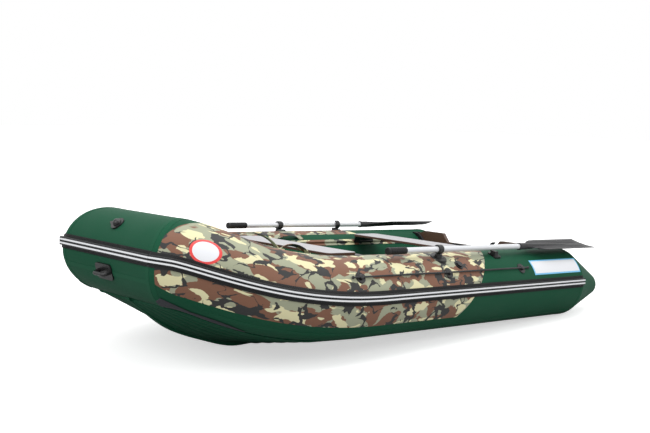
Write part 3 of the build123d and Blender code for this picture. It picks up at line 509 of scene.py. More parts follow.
@dataclass(frozen=True)
class PlyFinish(Finish):
    """Plywood with long grain in two browns, and paint on its faces where it has any."""

    dark: Color = srgb(58, 38, 28)
    painted: Color | None = None
    fibres: tuple[float, float, float] = (3.0, 26.0, 240.0)
    fibre_noise: tuple[float, float, float] = (3.0, 4.0, 0.62)
    dark_from: tuple[float, float] = (0.32, 0.68)
    flat_from: tuple[float, float] = (0.80, 0.86)  # how level a face is that has paint

    def colour_of(self, shader: Shader, vector: Value) -> bpy.types.NodeSocket:
        """Grain along the board and, where it is painted, paint on its faces.

        Args:
            shader: The material's tree.
            vector: The finish's coordinates.

        Returns:
            The colour.
        """
        grain = shader.noise(shader.mapping(vector, self.fibres), *self.fibre_noise).outputs[0]
        colour = shader.mix(shader.ramp(grain, *self.dark_from), self.dark, self.color)
        if self.painted is None:
            return colour
        normal = shader.add("NewGeometry").outputs["Normal"]
        level = shader.put(shader.add("SeparateXYZ"), {0: normal}).outputs[2]
        flat = shader.ramp(shader.math("ABSOLUTE", level), *self.flat_from)
        return shader.mix(flat, colour, self.painted)


GREEN = srgb(17, 74, 51)
COATED = {"amount": 0.08, "threads": 2600.0, "depth": 0.00006}
PRINTED = {"depth": 0.0001, "grain": 400.0, "coat": 0.2}
FINISHES: tuple[Finish, ...] = (
    Finish(Material.PVC, GREEN, 0.52, specular=0.07, **COATED),
    Finish(Material.SEAM, srgb(20, 78, 54), 0.54, specular=0.07, **COATED),
    CamoFinish(Material.CAMO, GREEN, 0.46, specular=0.24, **COATED),
    CamoFinish(Material.CAMO_SOLID, GREEN, 0.42, specular=0.28, on_skin=False, **COATED),
    Finish(Material.BLACK_RUBBER, srgb(17, 18, 20), 0.40, 0.08, grain=700.0, specular=0.30),
    Finish(Material.PALE_RUBBER, srgb(232, 234, 237), 0.40, 0.05, depth=0.0001, grain=500.0),
    Finish(Material.GREY_RUBBER, srgb(46, 47, 54), 0.45, 0.12, depth=0.0003, grain=420.0,
           specular=0.25),
    PlyFinish(Material.PLYWOOD, srgb(98, 68, 50), 0.36, 0.10, coat=0.25, grain=300.0),
    PlyFinish(Material.THWART, srgb(96, 62, 46), 0.42, 0.10, depth=0.0004, grain=600.0,
              painted=srgb(177, 176, 179)),
    Finish(Material.BLACK_PLASTIC, srgb(14, 14, 16), 0.28, 0.06, grain=900.0),
    Finish(Material.BLADE, srgb(36, 36, 38), 0.40, 0.12, depth=0.0003, grain=500.0, specular=0.36),
    Finish(Material.STEEL, srgb(205, 207, 210), 0.22, 0.05, metallic=1.0, brushed=True),
    Finish(Material.ALLOY, srgb(222, 224, 227), 0.32, 0.06, metallic=0.35, brushed=True),
    Finish(Material.ROPE, srgb(30, 31, 33), 0.66, 0.20, 6000.0, 0.0003, sheen=0.1),
    Finish(Material.BADGE_WHITE, srgb(224, 226, 230), 0.32, 0.04, **PRINTED),
    Finish(Material.BADGE_RED, srgb(222, 62, 60), 0.32, 0.05, **PRINTED),
    Finish(Material.PLATE_BLUE, srgb(112, 190, 232), 0.32, 0.05, **PRINTED),
)


class Wardrobe:
    """The built materials, by finish."""

    def __init__(self) -> None:
        """Builds every finish once."""
        effects = Effects(Weave().build(), Ageing().build())
        self.materials = {finish.name: finish.build(effects) for finish in FINISHES}

    def get(self, name: Material) -> bpy.types.Material:
        """The material of a finish."""
        return self.materials[name]


# ---- mesh helpers


def show(mesh: bpy.types.Mesh, name: str, body: str = HULL, replaced: str = "") -> None:
    """Puts a mesh into the scene as a piece of the boat.

    Args:
        mesh: The finished mesh.
        name: The piece's name.
        body: The body that it rides on.
        replaced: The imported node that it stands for, if any.
    """
    piece = bpy.data.objects.new(name, mesh)
    bpy.context.scene.collection.objects.link(piece)
    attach(piece, body)
    if replaced:
        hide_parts(replaced)
    LOG.info("%s: %d faces", name, len(mesh.polygons))


@dataclass
class Skin:
    """Faces gathered for one piece, each with its material's number.

    A point may carry its two map coordinates after its place.
    """

    points: list[Vector] = field(default_factory=list)
    faces: list[list[int]] = field(default_factory=list)
    marks: list[int] = field(default_factory=list)

    def grid(self, rows: Rows, closed: bool = False, flip: bool = False, mark: int = 0) -> None:
        """Adds a sheet of quads.

        Args:
            rows: Rows of points, all of one length.
            closed: Whether each row joins its own start.
            flip: Whether the faces are turned over.
            mark: The material slot's number.
        """
        start, width = len(self.points), len(rows[0])
        for line in rows:
            self.points.extend(line)
        for i in range(len(rows) - 1):
            for j in range(width if closed else width - 1):
                here, k = start + i * width, (j + 1) % width
                corners = [here + j, here + k, here + width + k, here + width + j]
                self.faces.append(corners[::-1] if flip else corners)
                self.marks.append(mark)

    def lid(self, ring: Sequence[Vector], flip: bool = False) -> None:
        """Closes a ring with a fan round its middle.

        Args:
            ring: The ring's points.
            flip: Whether the faces are turned over.
        """
        start, count = len(self.points), len(ring)
        self.points.extend([*ring, sum(ring, Vector()) / count])
        for j in range(count):
            corners = [start + j, start + (j + 1) % count, start + count]
            self.faces.append(corners[::-1] if flip else corners)
            self.marks.append(0)

    def drum(self, rings: Rows, flip: bool = False) -> None:
        """Adds rings joined into a solid, with a lid at both ends.

        Args:
            rings: Rings of points, all of one length.
            flip: Whether the faces are turned over.
        """
        self.grid(rings, closed=True, flip=flip)
        self.lid(rings[0], flip)
        self.lid(rings[-1])

    def slab(self, top: Rows, base: Rows, mark: int = 0) -> None:
        """Adds a thin plate.

        Args:
            top, base: Its two faces.
            mark: The material slot's number.
        """
        self.grid(top, mark=mark)
        self.grid(base, flip=True, mark=mark)
        for pick in (lambda g: g[0], lambda g: g[-1],
                     lambda g: [r[0] for r in g], lambda g: [r[-1] for r in g]):
            self.grid([pick(top), pick(base)], mark=mark)

    def rod(self, path: Sequence[Vector], radius: float, sides: int = 8) -> None:
        """Adds a round rod with closed ends.

        Args:
            path: The points of its middle line.
            radius: Its radius.
            sides: Its number of sides.
        """
        rings = []
        normal = Vector((0.0, 0.0, 1.0))
        for index, point in enumerate(path):
            before, after = path[max(index - 1, 0)], path[min(index + 1, len(path) - 1)]
            along = (after - before).normalized()
            if abs(along.dot(normal)) > NEAR_PARALLEL:
                normal = Vector((0.0, 1.0, 0.0))
            normal = (normal - along * normal.dot(along)).normalized()
            side = along.cross(normal)
            rings.append([point + (normal * math.cos(a) + side * math.sin(a)) * radius
                          for a in circle(sides)])
        self.drum(rings, flip=True)

    def mesh(self, name: str, crisp: float) -> bpy.types.Mesh:
        """Makes the mesh, merged and with its faces turned outwards.

        Args:
            name: The mesh's name.
            crisp: Degrees past which an edge stays crisp, or 0 where all is smooth.

        Returns:
            The mesh.
        """
        mesh = bpy.data.meshes.new(name)
        mesh.from_pydata([p[:3] for p in self.points], [], self.faces)
        layer = mesh.uv_layers.new(name=SKIN_UV)
        for polygon, mark in zip(mesh.polygons, self.marks):
            polygon.material_index = mark
            polygon.use_smooth = True
        for loop, spot in zip(mesh.loops, layer.data):
            spot.uv = self.points[loop.vertex_index][3:] or (0.0, 0.0)
        work = bmesh.new()
        work.from_mesh(mesh)
        bmesh.ops.remove_doubles(work, verts=work.verts, dist=MERGE)
        bmesh.ops.dissolve_degenerate(work, edges=work.edges, dist=MERGE)
        bmesh.ops.recalc_face_normals(work, faces=work.faces)
        work.to_mesh(mesh)
        work.free()
        if crisp:
            mesh.set_sharp_from_angle(angle=math.radians(crisp))
        return mesh


def repeat_tree() -> bpy.types.NodeTree:
    """Builds a Geometry Nodes tree that sets one small block on every point.

    Returns:
        The tree, which turns each block by the point's own attribute.
    """
    tree = bpy.data.node_groups.new("repeat_on_points", "GeometryNodeTree")
    for label, way, kind in (("Geometry", "INPUT", "Geometry"), ("Size", "INPUT", "Vector"),
                             ("Material", "INPUT", "Material"), ("Geometry", "OUTPUT", "Geometry")):
        tree.interface.new_socket(label, in_out=way, socket_type=f"NodeSocket{kind}")
    start, end, block, turn, place, real, dress = (tree.nodes.new(kind) for kind in (
        "NodeGroupInput", "NodeGroupOutput", "GeometryNodeMeshCube",
        "GeometryNodeInputNamedAttribute", "GeometryNodeInstanceOnPoints",
        "GeometryNodeRealizeInstances", "GeometryNodeSetMaterial"))
    turn.data_type = "FLOAT_VECTOR"
    turn.inputs["Name"].default_value = "turn"
    for source, out, target, into in (
            (start, "Size", block, "Size"), (start, "Geometry", place, "Points"),
            (block, "Mesh", place, "Instance"), (turn, "Attribute", place, "Rotation"),
            (place, "Instances", real, "Geometry"), (real, "Geometry", dress, "Geometry"),
            (start, "Material", dress, "Material"), (dress, "Geometry", end, "Geometry")):
        tree.links.new(source.outputs[out], target.inputs[into])
    return tree


class Repeater:
    """Sets rows of small blocks, such as ribs, through Geometry Nodes."""

    def __init__(self) -> None:
        """Builds the tree once."""
        self.tree = repeat_tree()

    def build(self, name: str, places: Sequence[Place], size: tuple[float, float, float],
              material: bpy.types.Material, slot: str) -> None:
        """Makes one piece of equal blocks, as a plain mesh.

        Args:
            name: The piece's name.
            places: Where each block sits and how it is turned.
            size: The block's length, width and height.
            material: Its material.
            slot: A slot's name, which is not used.
        """
        seeds = bpy.data.meshes.new(f"{name}_seeds")
        seeds.from_pydata([tuple(point) for point, _ in places], [], [])
        turns = seeds.attributes.new("turn", "FLOAT_VECTOR", "POINT")
        for index, (_, turn) in enumerate(places):
            turns.data[index].vector = turn.to_euler("XYZ")
        holder = bpy.data.objects.new(f"{name}_holder", seeds)
        bpy.context.scene.collection.objects.link(holder)
        modifier = holder.modifiers.new("repeat", "NODES")
        modifier.node_group = self.tree
        sockets = {item.name: item.identifier for item in self.tree.interface.items_tree
                   if item.in_out == "INPUT"}
        modifier[sockets["Size"]] = size
        modifier[sockets["Material"]] = material
        graph = bpy.context.evaluated_depsgraph_get()
        mesh = bpy.data.meshes.new_from_object(holder.evaluated_get(graph))
        bpy.data.objects.remove(holder)
        mesh.name = name
        show(mesh, name)


# ---- the line of the tubes


@dataclass
class TubeLine:
    """The path of the side tube's axis, from its aft end to the mitre, in the hull's frame."""

    radius: float = 0.205
    half_beam: float = 0.556
    height: float = 0.215
    aft_x: float = -1.240
    bend_x: float = 0.505
    mitre: Vector = field(default_factory=lambda: Vector((1.430, 0.277, 0.379)))
    turn: float = math.radians(42.3)
    climb: float = math.radians(5.6)
    bend_pull: float = 0.683
    mitre_pull: float = 0.200
    samples: int = 240
    end_step: float = 3.0         # degrees between the entries of the mitre's table
    past_mitre: float = 0.4       # how far past the axis's end the skin may reach

    def __post_init__(self) -> None:
        """Works out the bend's length table and the mitre's."""
        flat = math.cos(self.climb)
        self.heading = Vector((math.cos(self.turn) * flat, -math.sin(self.turn) * flat,
                               math.sin(self.climb)))
        start = Vector((self.bend_x, self.half_beam, self.height))
        self.poles = (start, start + Vector((self.bend_pull, 0, 0)),
                      self.mitre - self.heading * self.mitre_pull, self.mitre)
        self.straight = self.bend_x - self.aft_x
        self.table = [0.0]
        last = start
        for index in range(1, self.samples + 1):
            point = self.bend(index / self.samples)[0]
            self.table.append(self.table[-1] + (point - last).length)
            last = point
        self.length = self.straight + self.table[-1]
        self.plane = (self.heading + Vector((0, -1, 0))).normalized()
        first, stop = round(-180 / self.end_step), round(360 / self.end_step)
        self.ends = {step: self.find_end(step * self.end_step) for step in range(first, stop + 1)}

    def bend(self, share: float) -> tuple[Vector, Vector]:
        """Walks the bend.

        Args:
            share: From 0 at the straight to 1 at the mitre.

        Returns:
            Point and direction.
        """
        a, b, c, d = self.poles
        rest = 1 - share
        point = (a * rest**3 + b * (3 * rest * rest * share) + c * (3 * rest * share * share)
                 + d * share**3)
        slope = (b - a) * rest * rest + (c - b) * (2 * rest * share) + (d - c) * (share * share)
        return point, slope.normalized()

    def axis(self, along: float) -> tuple[Vector, Vector]:
        """Walks the whole axis.

        Args:
            along: Length from the aft end.

        Returns:
            Point and direction.
        """
        if along <= self.straight:
            return Vector((self.aft_x + along, self.half_beam, self.height)), Vector((1.0, 0, 0))
        if along >= self.length:
            return self.mitre + self.heading * (along - self.length), self.heading
        wanted, low, high = along - self.straight, 0, self.samples
        while high - low > 1:
            middle = (low + high) // 2
            low, high = (middle, high) if self.table[middle] <= wanted else (low, middle)
        part = (wanted - self.table[low]) / (self.table[high] - self.table[low])
        return self.bend((low + part) / self.samples)

    def frame_at(self, along: float) -> tuple[Vector, Vector, Vector, Vector]:
        """Finds the ways out of the tube.

        Args:
            along: Length from the aft end.

        Returns:
            Axis point, direction, outboard and upward normals.
        """
        point, heading = self.axis(along)
        out = Vector((-heading.y, heading.x, 0)).normalized()
        up = -out.cross(heading)
        return point, heading, out, up if up.z > 0 else -up

    def skin(self, along: float, angle: float, lift: float = 0.0) -> Vector:
        """Finds a point on the skin.

        Args:
            along: Length from the aft end.
            angle: Degrees from outboard, over the top.
            lift: Height over the skin.

        Returns:
            The point in the hull's frame.
        """
        point, _, out, up = self.frame_at(along)
        turn = math.radians(angle)
        return point + (out * math.cos(turn) + up * math.sin(turn)) * (self.radius + lift)

    def find_end(self, angle: float) -> float:
        """Length at which the skin reaches the mitre, at an angle."""
        return halve(lambda s: (self.skin(s, angle) - self.mitre).dot(self.plane) < 0,
                     self.straight, self.length + self.past_mitre)

    def end(self, angle: float) -> float:
        """The same, read from a table."""
        low, part = divmod(angle / self.end_step, 1)
        return self.ends[low] + (self.ends[low + 1] - self.ends[low]) * part


@dataclass
class BowLine:
    """The tube across the bow, between the two mitres."""

    line: TubeLine

    def skin(self, across: float, angle: float, lift: float = 0.0) -> Vector:
        """Finds a point on the bow tube's skin.

        Args:
            across: Distance to port.
            angle: Degrees from ahead, over the top.
            lift: Height over the skin.

        Returns:
            The point in the hull's frame.
        """
        turn, reach, mitre = math.radians(angle), self.line.radius + lift, self.line.mitre
        return Vector((mitre.x + reach * math.cos(turn), across, mitre.z + reach * math.sin(turn)))

    def end(self, angle: float) -> float:
        """Distance to port at which the skin meets the mitre."""
        normal = self.line.plane
        return (self.line.mitre - self.skin(0.0, angle)).dot(normal) / normal.y


@dataclass
class Patch:
    """A thin sheet glued on a side tube's skin, between two lengths at every angle."""

    line: TubeLine
    lift: float                   # of its face over the skin
    sunk: float = -0.0010         # of its back
    other_side: float = 3.7       # moves starboard's map, so that its print isn't port's

    def build(self, skin: Skin, low: float, high: float, start: Span, stop: Span, side: int,
              steps: tuple[int, int], trim: Callable[[float, float], float] | None = None,
              mark: int = 0) -> None:
        """Adds the sheet's top, bottom and rim.

        Args:
            skin: The gathered faces.
            low, high: The angles between which it lies.
            start, stop: Lengths at which it begins and ends, at an angle.
            side: Port or starboard.
            steps: Faces along and round.
            trim: Gives a point's own angle, from its length and plain angle.
            mark: The material slot's number.
        """
        runs, rounds = steps

        def place(i: int, j: int, lift: float) -> Vector:
            """Finds one point of the sheet.

            Args:
                i, j: Its number along and round.
                lift: Its height over the skin.

            Returns:
                The point, with its map coordinates.
            """
            angle = low + (high - low) * j / rounds
            along = start(angle) + (stop(angle) - start(angle)) * i / runs
            angle = trim(along, angle) if trim else angle
            across = math.radians(angle) * self.line.radius + (side < 0) * self.other_side
            return Vector((*row(self.line.skin(along, angle, lift), side), along * side, across))

        skin.slab(*([[place(i, j, lift) for j in range(rounds + 1)] for i in range(runs + 1)]
                    for lift in (self.lift, self.sunk)), mark=mark)


# ---- the boat's sub-assemblies


@dataclass
class Assembly:
    """What every sub-assembly is built from: the tubes' line and the finishes."""

    line: TubeLine
    wardrobe: Wardrobe

    def piece(self, skin: Skin, name: str, looks: Sequence[Material], slot: str,
              crisp: float = 0.0, replaced: str = "", body: str = HULL) -> None:
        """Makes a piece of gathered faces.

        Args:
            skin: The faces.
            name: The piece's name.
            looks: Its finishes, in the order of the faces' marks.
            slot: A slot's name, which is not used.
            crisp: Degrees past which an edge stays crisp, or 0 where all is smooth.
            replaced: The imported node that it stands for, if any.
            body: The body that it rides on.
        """
        mesh = skin.mesh(name, crisp)
        for look in looks:
            mesh.materials.append(self.wardrobe.get(look))
        show(mesh, name, body, replaced)


@dataclass
class Tubes(Assembly):
    """The inflated skins: side tubes, bow tube and stern cones."""

    rounds: int = 96
    runs: int = 110
    bow_runs: int = 24
    seam: float = -90.0           # the angle at which the rings start
    fitted: float = 0.5           # length before the mitre over which the rings turn into it
    crisp: float = 50.0
    cone_length: float = 0.400
    cone_tip: float = 0.060
    cone_round: float = 0.045
    cone_drop: float = 0.038
    cone_runs: int = 14
    tip_runs: int = 10

    def side(self, side: int) -> None:
        """One side tube, on the path's own rings.

        Args:
            side: Port or starboard.
        """
        skin, line, rings = Skin(), self.line, []
        plain = line.length - self.fitted
        for i in range(self.runs + 1):
            ring = []
            base = line.length * i / self.runs
            for j in range(self.rounds):
                angle, along = 360.0 * j / self.rounds + self.seam, base
                if base > plain:
                    along = plain + (base - plain) * (line.end(angle) - plain) / self.fitted
                ring.append(row(line.skin(along, angle), side))
            rings.append(ring)
        skin.drum(rings)
        name = SIDE_NAMES[side]
        self.piece(skin, f"tube_skin_{name}", [Material.PVC], "hull_camo", self.crisp,
                   f"side_tube_{name}")

    def bow(self) -> None:
        """The tube across the bow."""
        skin, bow = Skin(), BowLine(self.line)
        angles = [360.0 * j / self.rounds for j in range(self.rounds)]
        shares = [1 - 2 * i / self.bow_runs for i in range(self.bow_runs + 1)]
        skin.drum([[row(bow.skin(bow.end(a) * share, a)) for a in angles] for share in shares])
        self.piece(skin, "bow_skin", [Material.PVC], "hull_pvc", self.crisp, "bow_tube")

    def cone_outline(self) -> list[tuple[float, float]]:
        """Draws a cone's outline, with its rounded tip.

        Returns:
            Distance aft and radius of each ring.
        """
        radius, tip, length = self.line.radius, self.cone_tip, self.cone_length
        slope = Vector((-length, radius - tip)).normalized()
        face = Vector((0.0, -1.0))
        half = math.acos(slope.dot(face)) / 2
        reach = self.cone_round / math.tan(half)
        corner = Vector((length, tip))
        centre = corner + (slope + face).normalized() * (self.cone_round / math.sin(half))
        first, last = corner + slope * reach, corner + face * reach
        runs = self.cone_runs
        outline = [(i / runs * first.x, radius + (first.y - radius) * i / runs)
                   for i in range(runs + 1)]
        start, stop = (math.atan2(p.y - centre.y, p.x - centre.x) for p in (first, last))
        for i in range(1, self.tip_runs + 1):
            turn = start + (stop - start) * i / self.tip_runs
            outline.append((centre.x + self.cone_round * math.cos(turn),
                            centre.y + self.cone_round * math.sin(turn)))
        return outline

    def cone(self, side: int) -> None:
        """One stern cone.

        Args:
            side: Port or starboard.
        """
        skin, line, name = Skin(), self.line, SIDE_NAMES[side]
        rings = []
        for back, radius in self.cone_outline():
            drop = self.cone_drop * back / self.cone_length
            centre = Vector((line.aft_x - back, line.half_beam, line.height - drop))
            rings.append([row(centre + Vector((0, math.cos(t), math.sin(t))) * radius, side)
                          for t in circle(self.rounds)])
        skin.drum(rings)
        self.piece(skin, f"cone_skin_{name}", [Material.PVC], "hull_pvc", self.crisp,
                   f"stern_cone_{name}")

    def build(self) -> None:
        """All five skins."""
        for side in SIDE_NAMES:
            self.side(side)
            self.cone(side)
        self.bow()


@dataclass
class SkinPanels(Assembly):
    """What is glued flat on the tubes: camouflage panels, seam tapes, badges and plates."""

    crisp: float = 40.0
    camo_low: float = -34.5
    camo_high: float = 112.0
    camo_aft: float = 1.0587
    camo_slant: float = 0.00313   # how much further aft the panel reaches, per degree
    camo_lift: float = 0.0006
    camo_steps: tuple[int, int] = (110, 56)
    front_gap: float = 0.004
    front_slant: float = 0.05     # how far the front edge leans aft in one span of degrees
    front_from: float = 10.0
    front_span: float = 50.0
    front_most: float = 1.4       # spans after which it leans no further
    corner_from: float = 2.69     # the panel's lower front corner is rounded from here
    corner_reach: float = 0.16    # over this length
    corner_rise: float = 17.0     # by these degrees
    tape: float = 0.024
    tape_lift: float = 0.0010
    around: tuple[float, float] = (-179.0, 179.0)
    mitre_steps: tuple[int, int] = (3, 120)
    aft_gap: float = 0.0006
    aft_steps: tuple[int, int] = (2, 120)
    low_seam: tuple[float, float] = (-54.0, -47.0)
    low_seam_reach: tuple[float, float] = (0.03, 2.55)
    low_seam_steps: tuple[int, int] = (80, 3)
    bow_seam: float = -20.0
    bow_seam_half: float = 3.2
    bow_runs: int = 24
    bow_rounds: int = 120
    badge_at: tuple[float, float] = (2.6459, 31.6)  # length and angle of its middle
    badge_radius: float = 0.0585
    badge_rim: float = 0.011
    badge_lift: float = 0.0020
    badge_sunk: float = -0.0005
    badge_shares: tuple[float, float] = (0.3, 0.6)  # where its inner rings are
    badge_rounds: int = 64
    plate_reach: tuple[float, float] = (0.016, 0.490)
    plate_low: float = 23.3
    plate_high: float = 50.0
    plate_border: float = 0.009
    plate_lifts: tuple[float, float] = (0.0014, 0.0019)
    plate_steps: tuple[int, int] = (24, 14)

    def camo_front(self, angle: float) -> float:
        """Length at which the panel ends near the mitre."""
        lean = min(max(0.0, (angle - self.front_from) / self.front_span), self.front_most)
        return self.line.end(angle) - self.front_gap - self.front_slant * lean

    def camo_trim(self, along: float, angle: float) -> float:
        """Lifts the lower edge over the rounded front corner.

        Args:
            along: Length from the aft end.
            angle: The plain angle.

        Returns:
            The angle that the point gets.
        """
        over = max(0.0, (along - self.corner_from) / self.corner_reach)
        low = self.camo_low + self.corner_rise * over * over
        share = (angle - self.camo_low) / (self.camo_high - self.camo_low)
        return low + (self.camo_high - low) * share

    def camo(self, side: int) -> None:
        """One camouflage panel, over the tube from under the strake to the inboard side.

        Args:
            side: Port or starboard.
        """
        skin = Skin()
        Patch(self.line, self.camo_lift).build(
            skin, self.camo_low, self.camo_high, lambda a: self.camo_aft - self.camo_slant * a,
            self.camo_front, side, self.camo_steps, self.camo_trim)
        self.piece(skin, f"camo_panel_{SIDE_NAMES[side]}", [Material.CAMO], "hull_camo", self.crisp)

    def tapes(self, side: int) -> None:
        """Seam tapes round the mitre, at the cone and along the tube's underside.

        Args:
            side: Port or starboard.
        """
        skin, end, tape, (aft, fore) = Skin(), self.line.end, self.tape, self.low_seam_reach
        for span, start, stop, steps in (
                (self.around, lambda a: end(a) - tape, lambda a: end(a) - HAIR, self.mitre_steps),
                (self.around, lambda a: self.aft_gap, lambda a: tape, self.aft_steps),
                (self.low_seam, lambda a: aft, lambda a: fore, self.low_seam_steps)):
            Patch(self.line, self.tape_lift).build(skin, *span, start, stop, side, steps)
        self.piece(skin, f"seam_tapes_{SIDE_NAMES[side]}", [Material.SEAM], "hull_pvc", self.crisp)

    def bow_tapes(self) -> None:
        """Seam tapes on the bow tube: along it below the strake, and at both mitres."""
        skin, bow, lift = Skin(), BowLine(self.line), self.tape_lift

        def strip(angles: Sequence[float], spans: Sequence[Span]) -> None:
            """One closed strip between spans, at these angles."""
            skin.slab(*([[row(bow.skin(span(a), a, way * lift)) for span in spans] for a in angles]
                        for way in (1, -1)))

        shares = [1 - 2 * i / self.bow_runs for i in range(self.bow_runs + 1)]
        strip([self.bow_seam + way * self.bow_seam_half for way in (-1, 0, 1)],
              [lambda a, s=s: (bow.end(a) - self.tape) * s for s in shares])
        step = 360.0 / self.bow_rounds
        around = [step * (i + 0.5) - 180.0 for i in range(self.bow_rounds)]
        for side in SIDE_NAMES:
            strip(around, [lambda a, k=k: side * (bow.end(a) - self.tape * k - HAIR)
                           for k in (0.0, 0.5, 1.0)])
        self.piece(skin, "seam_tapes_bow", [Material.SEAM], "hull_pvc", self.crisp)

    def badge(self, side: int) -> None:
        """A plain round badge: a white field and a red rim.

        Args:
            side: Port or starboard.
        """
        skin, (along, angle) = Skin(), self.badge_at

        def ring(share: float, lift: float) -> list[Vector]:
            """Lays a ring of the disc on the tube.

            Args:
                share: The ring's radius, as a share of the badge's.
                lift: Its height over the skin.

            Returns:
                Its points.
            """
            reach = share * self.badge_radius
            wrap = math.degrees(reach / self.line.radius)
            return [row(self.line.skin(along + reach * math.cos(t), angle + wrap * math.sin(t),
                                       lift), side) for t in circle(self.badge_rounds)]

        white = (self.badge_radius - self.badge_rim) / self.badge_radius
        inner, middle, edge, rim = (ring(share, self.badge_lift)
                                    for share in (*self.badge_shares, white, 1.0))
        low = ring(1.0, self.badge_sunk)
        skin.grid([inner, middle, edge], closed=True)
        skin.grid([edge, rim, low], closed=True, mark=1)
        skin.lid(inner)
        skin.lid(low)
        self.piece(skin, f"badge_{SIDE_NAMES[side]}", [Material.BADGE_WHITE, Material.BADGE_RED],
                   "pale_rubber", self.crisp)

    def plate(self, side: int) -> None:
        """A plain plate: a light blue border and, over it, a white field.

        Args:
            side: Port or starboard.
        """
        skin, (aft, fore) = Skin(), self.plate_reach
        for lift, border, mark in zip(self.plate_lifts, (0.0, self.plate_border), (1, 0)):
            wrap = math.degrees(border / self.line.radius)
            Patch(self.line, lift).build(
                skin, self.plate_low + wrap, self.plate_high - wrap, lambda a: aft + border,
                lambda a: fore - border, side, self.plate_steps, mark=mark)
        self.piece(skin, f"plate_{SIDE_NAMES[side]}", [Material.BADGE_WHITE, Material.PLATE_BLUE],
                   "pale_rubber", self.crisp)

    def build(self) -> None:
        """Every glued piece on both sides."""
        for side in SIDE_NAMES:
            for make in (self.camo, self.tapes, self.badge, self.plate):
                make(side)
        self.bow_tapes()


@dataclass
class StrakeRibs(Assembly):
    """Fine slanted ribs on the two margins of the rub strake."""

    repeater: Repeater
    strake_lift: float = 0.026
    bow_climb: float = 0.0095
    margin: float = 0.0276        # from the strake's middle to a margin's middle
    pitch: float = 0.0085
    slant: float = math.radians(38)
    seat: float = 0.0051          # the margin's height over the tube
    gap: float = 0.012            # plain length at the start of a run
    mitre_gap: float = 0.020      # and before the mitre
    bow_angle: float = 8.0        # the strake's own angle on the bow tube
    size: tuple[float, float, float] = (0.0150, 0.0030, 0.0022)

    def pair(self, centre: Vector, ways: Sequence[Vector], lift: float, side: int) -> list[Place]:
        """Finds the two ribs at one place along the strake.

        Args:
            centre: The point on the tube's axis.
            ways: The tube's direction, outboard and up.
            lift: The height of the strake's middle over the axis.
            side: Port or starboard.

        Returns:
            The upper rib's place and the lower one's.
        """
        places, (heading, out, up) = [], ways
        reach = self.line.radius + self.seat
        for high in (lift + self.margin, lift - self.margin):
            ray = out * math.sqrt(reach * reach - high * high) + up * high
            normal = ray.normalized()
            rise = normal.cross(heading).normalized()
            rib = rise * math.cos(self.slant) + heading * math.sin(self.slant)
            places.append((row(centre + ray, side), turned(rib, normal, side)))
        return places

    def build(self) -> None:
        """All three runs of ribs."""
        line, runs = self.line, {name: [] for name in (*SIDE_NAMES.values(), "bow")}
        for side, name in SIDE_NAMES.items():
            for index in range(int((line.length - self.mitre_gap) / self.pitch)):
                point, *ways = line.frame_at(self.gap + self.pitch * index)
                runs[name] += self.pair(point, ways, self.strake_lift, side)
        half = BowLine(line).end(self.bow_angle) - self.gap
        ways = Vector((0, -1, 0)), Vector((1, 0, 0)), Vector((0, 0, 1))
        for index in range(int(2 * half / self.pitch)):
            centre = Vector((line.mitre.x, half - self.pitch * index, line.mitre.z))
            runs["bow"] += self.pair(centre, ways, self.strake_lift + self.bow_climb, PORT)
        for name, places in runs.items():
            self.repeater.build(f"strake_ribs_{name}", places, self.size,
                                self.wardrobe.get(Material.BLACK_RUBBER), "black_rubber")


@dataclass(frozen=True)
class Spokes:
    """Short moulded ribs round a fitting's middle."""

    count: int
    reach: float                  # from the middle to a rib's middle
    size: tuple[float, float, float]
    high: float = 0.0036          # a rib's middle over the tube


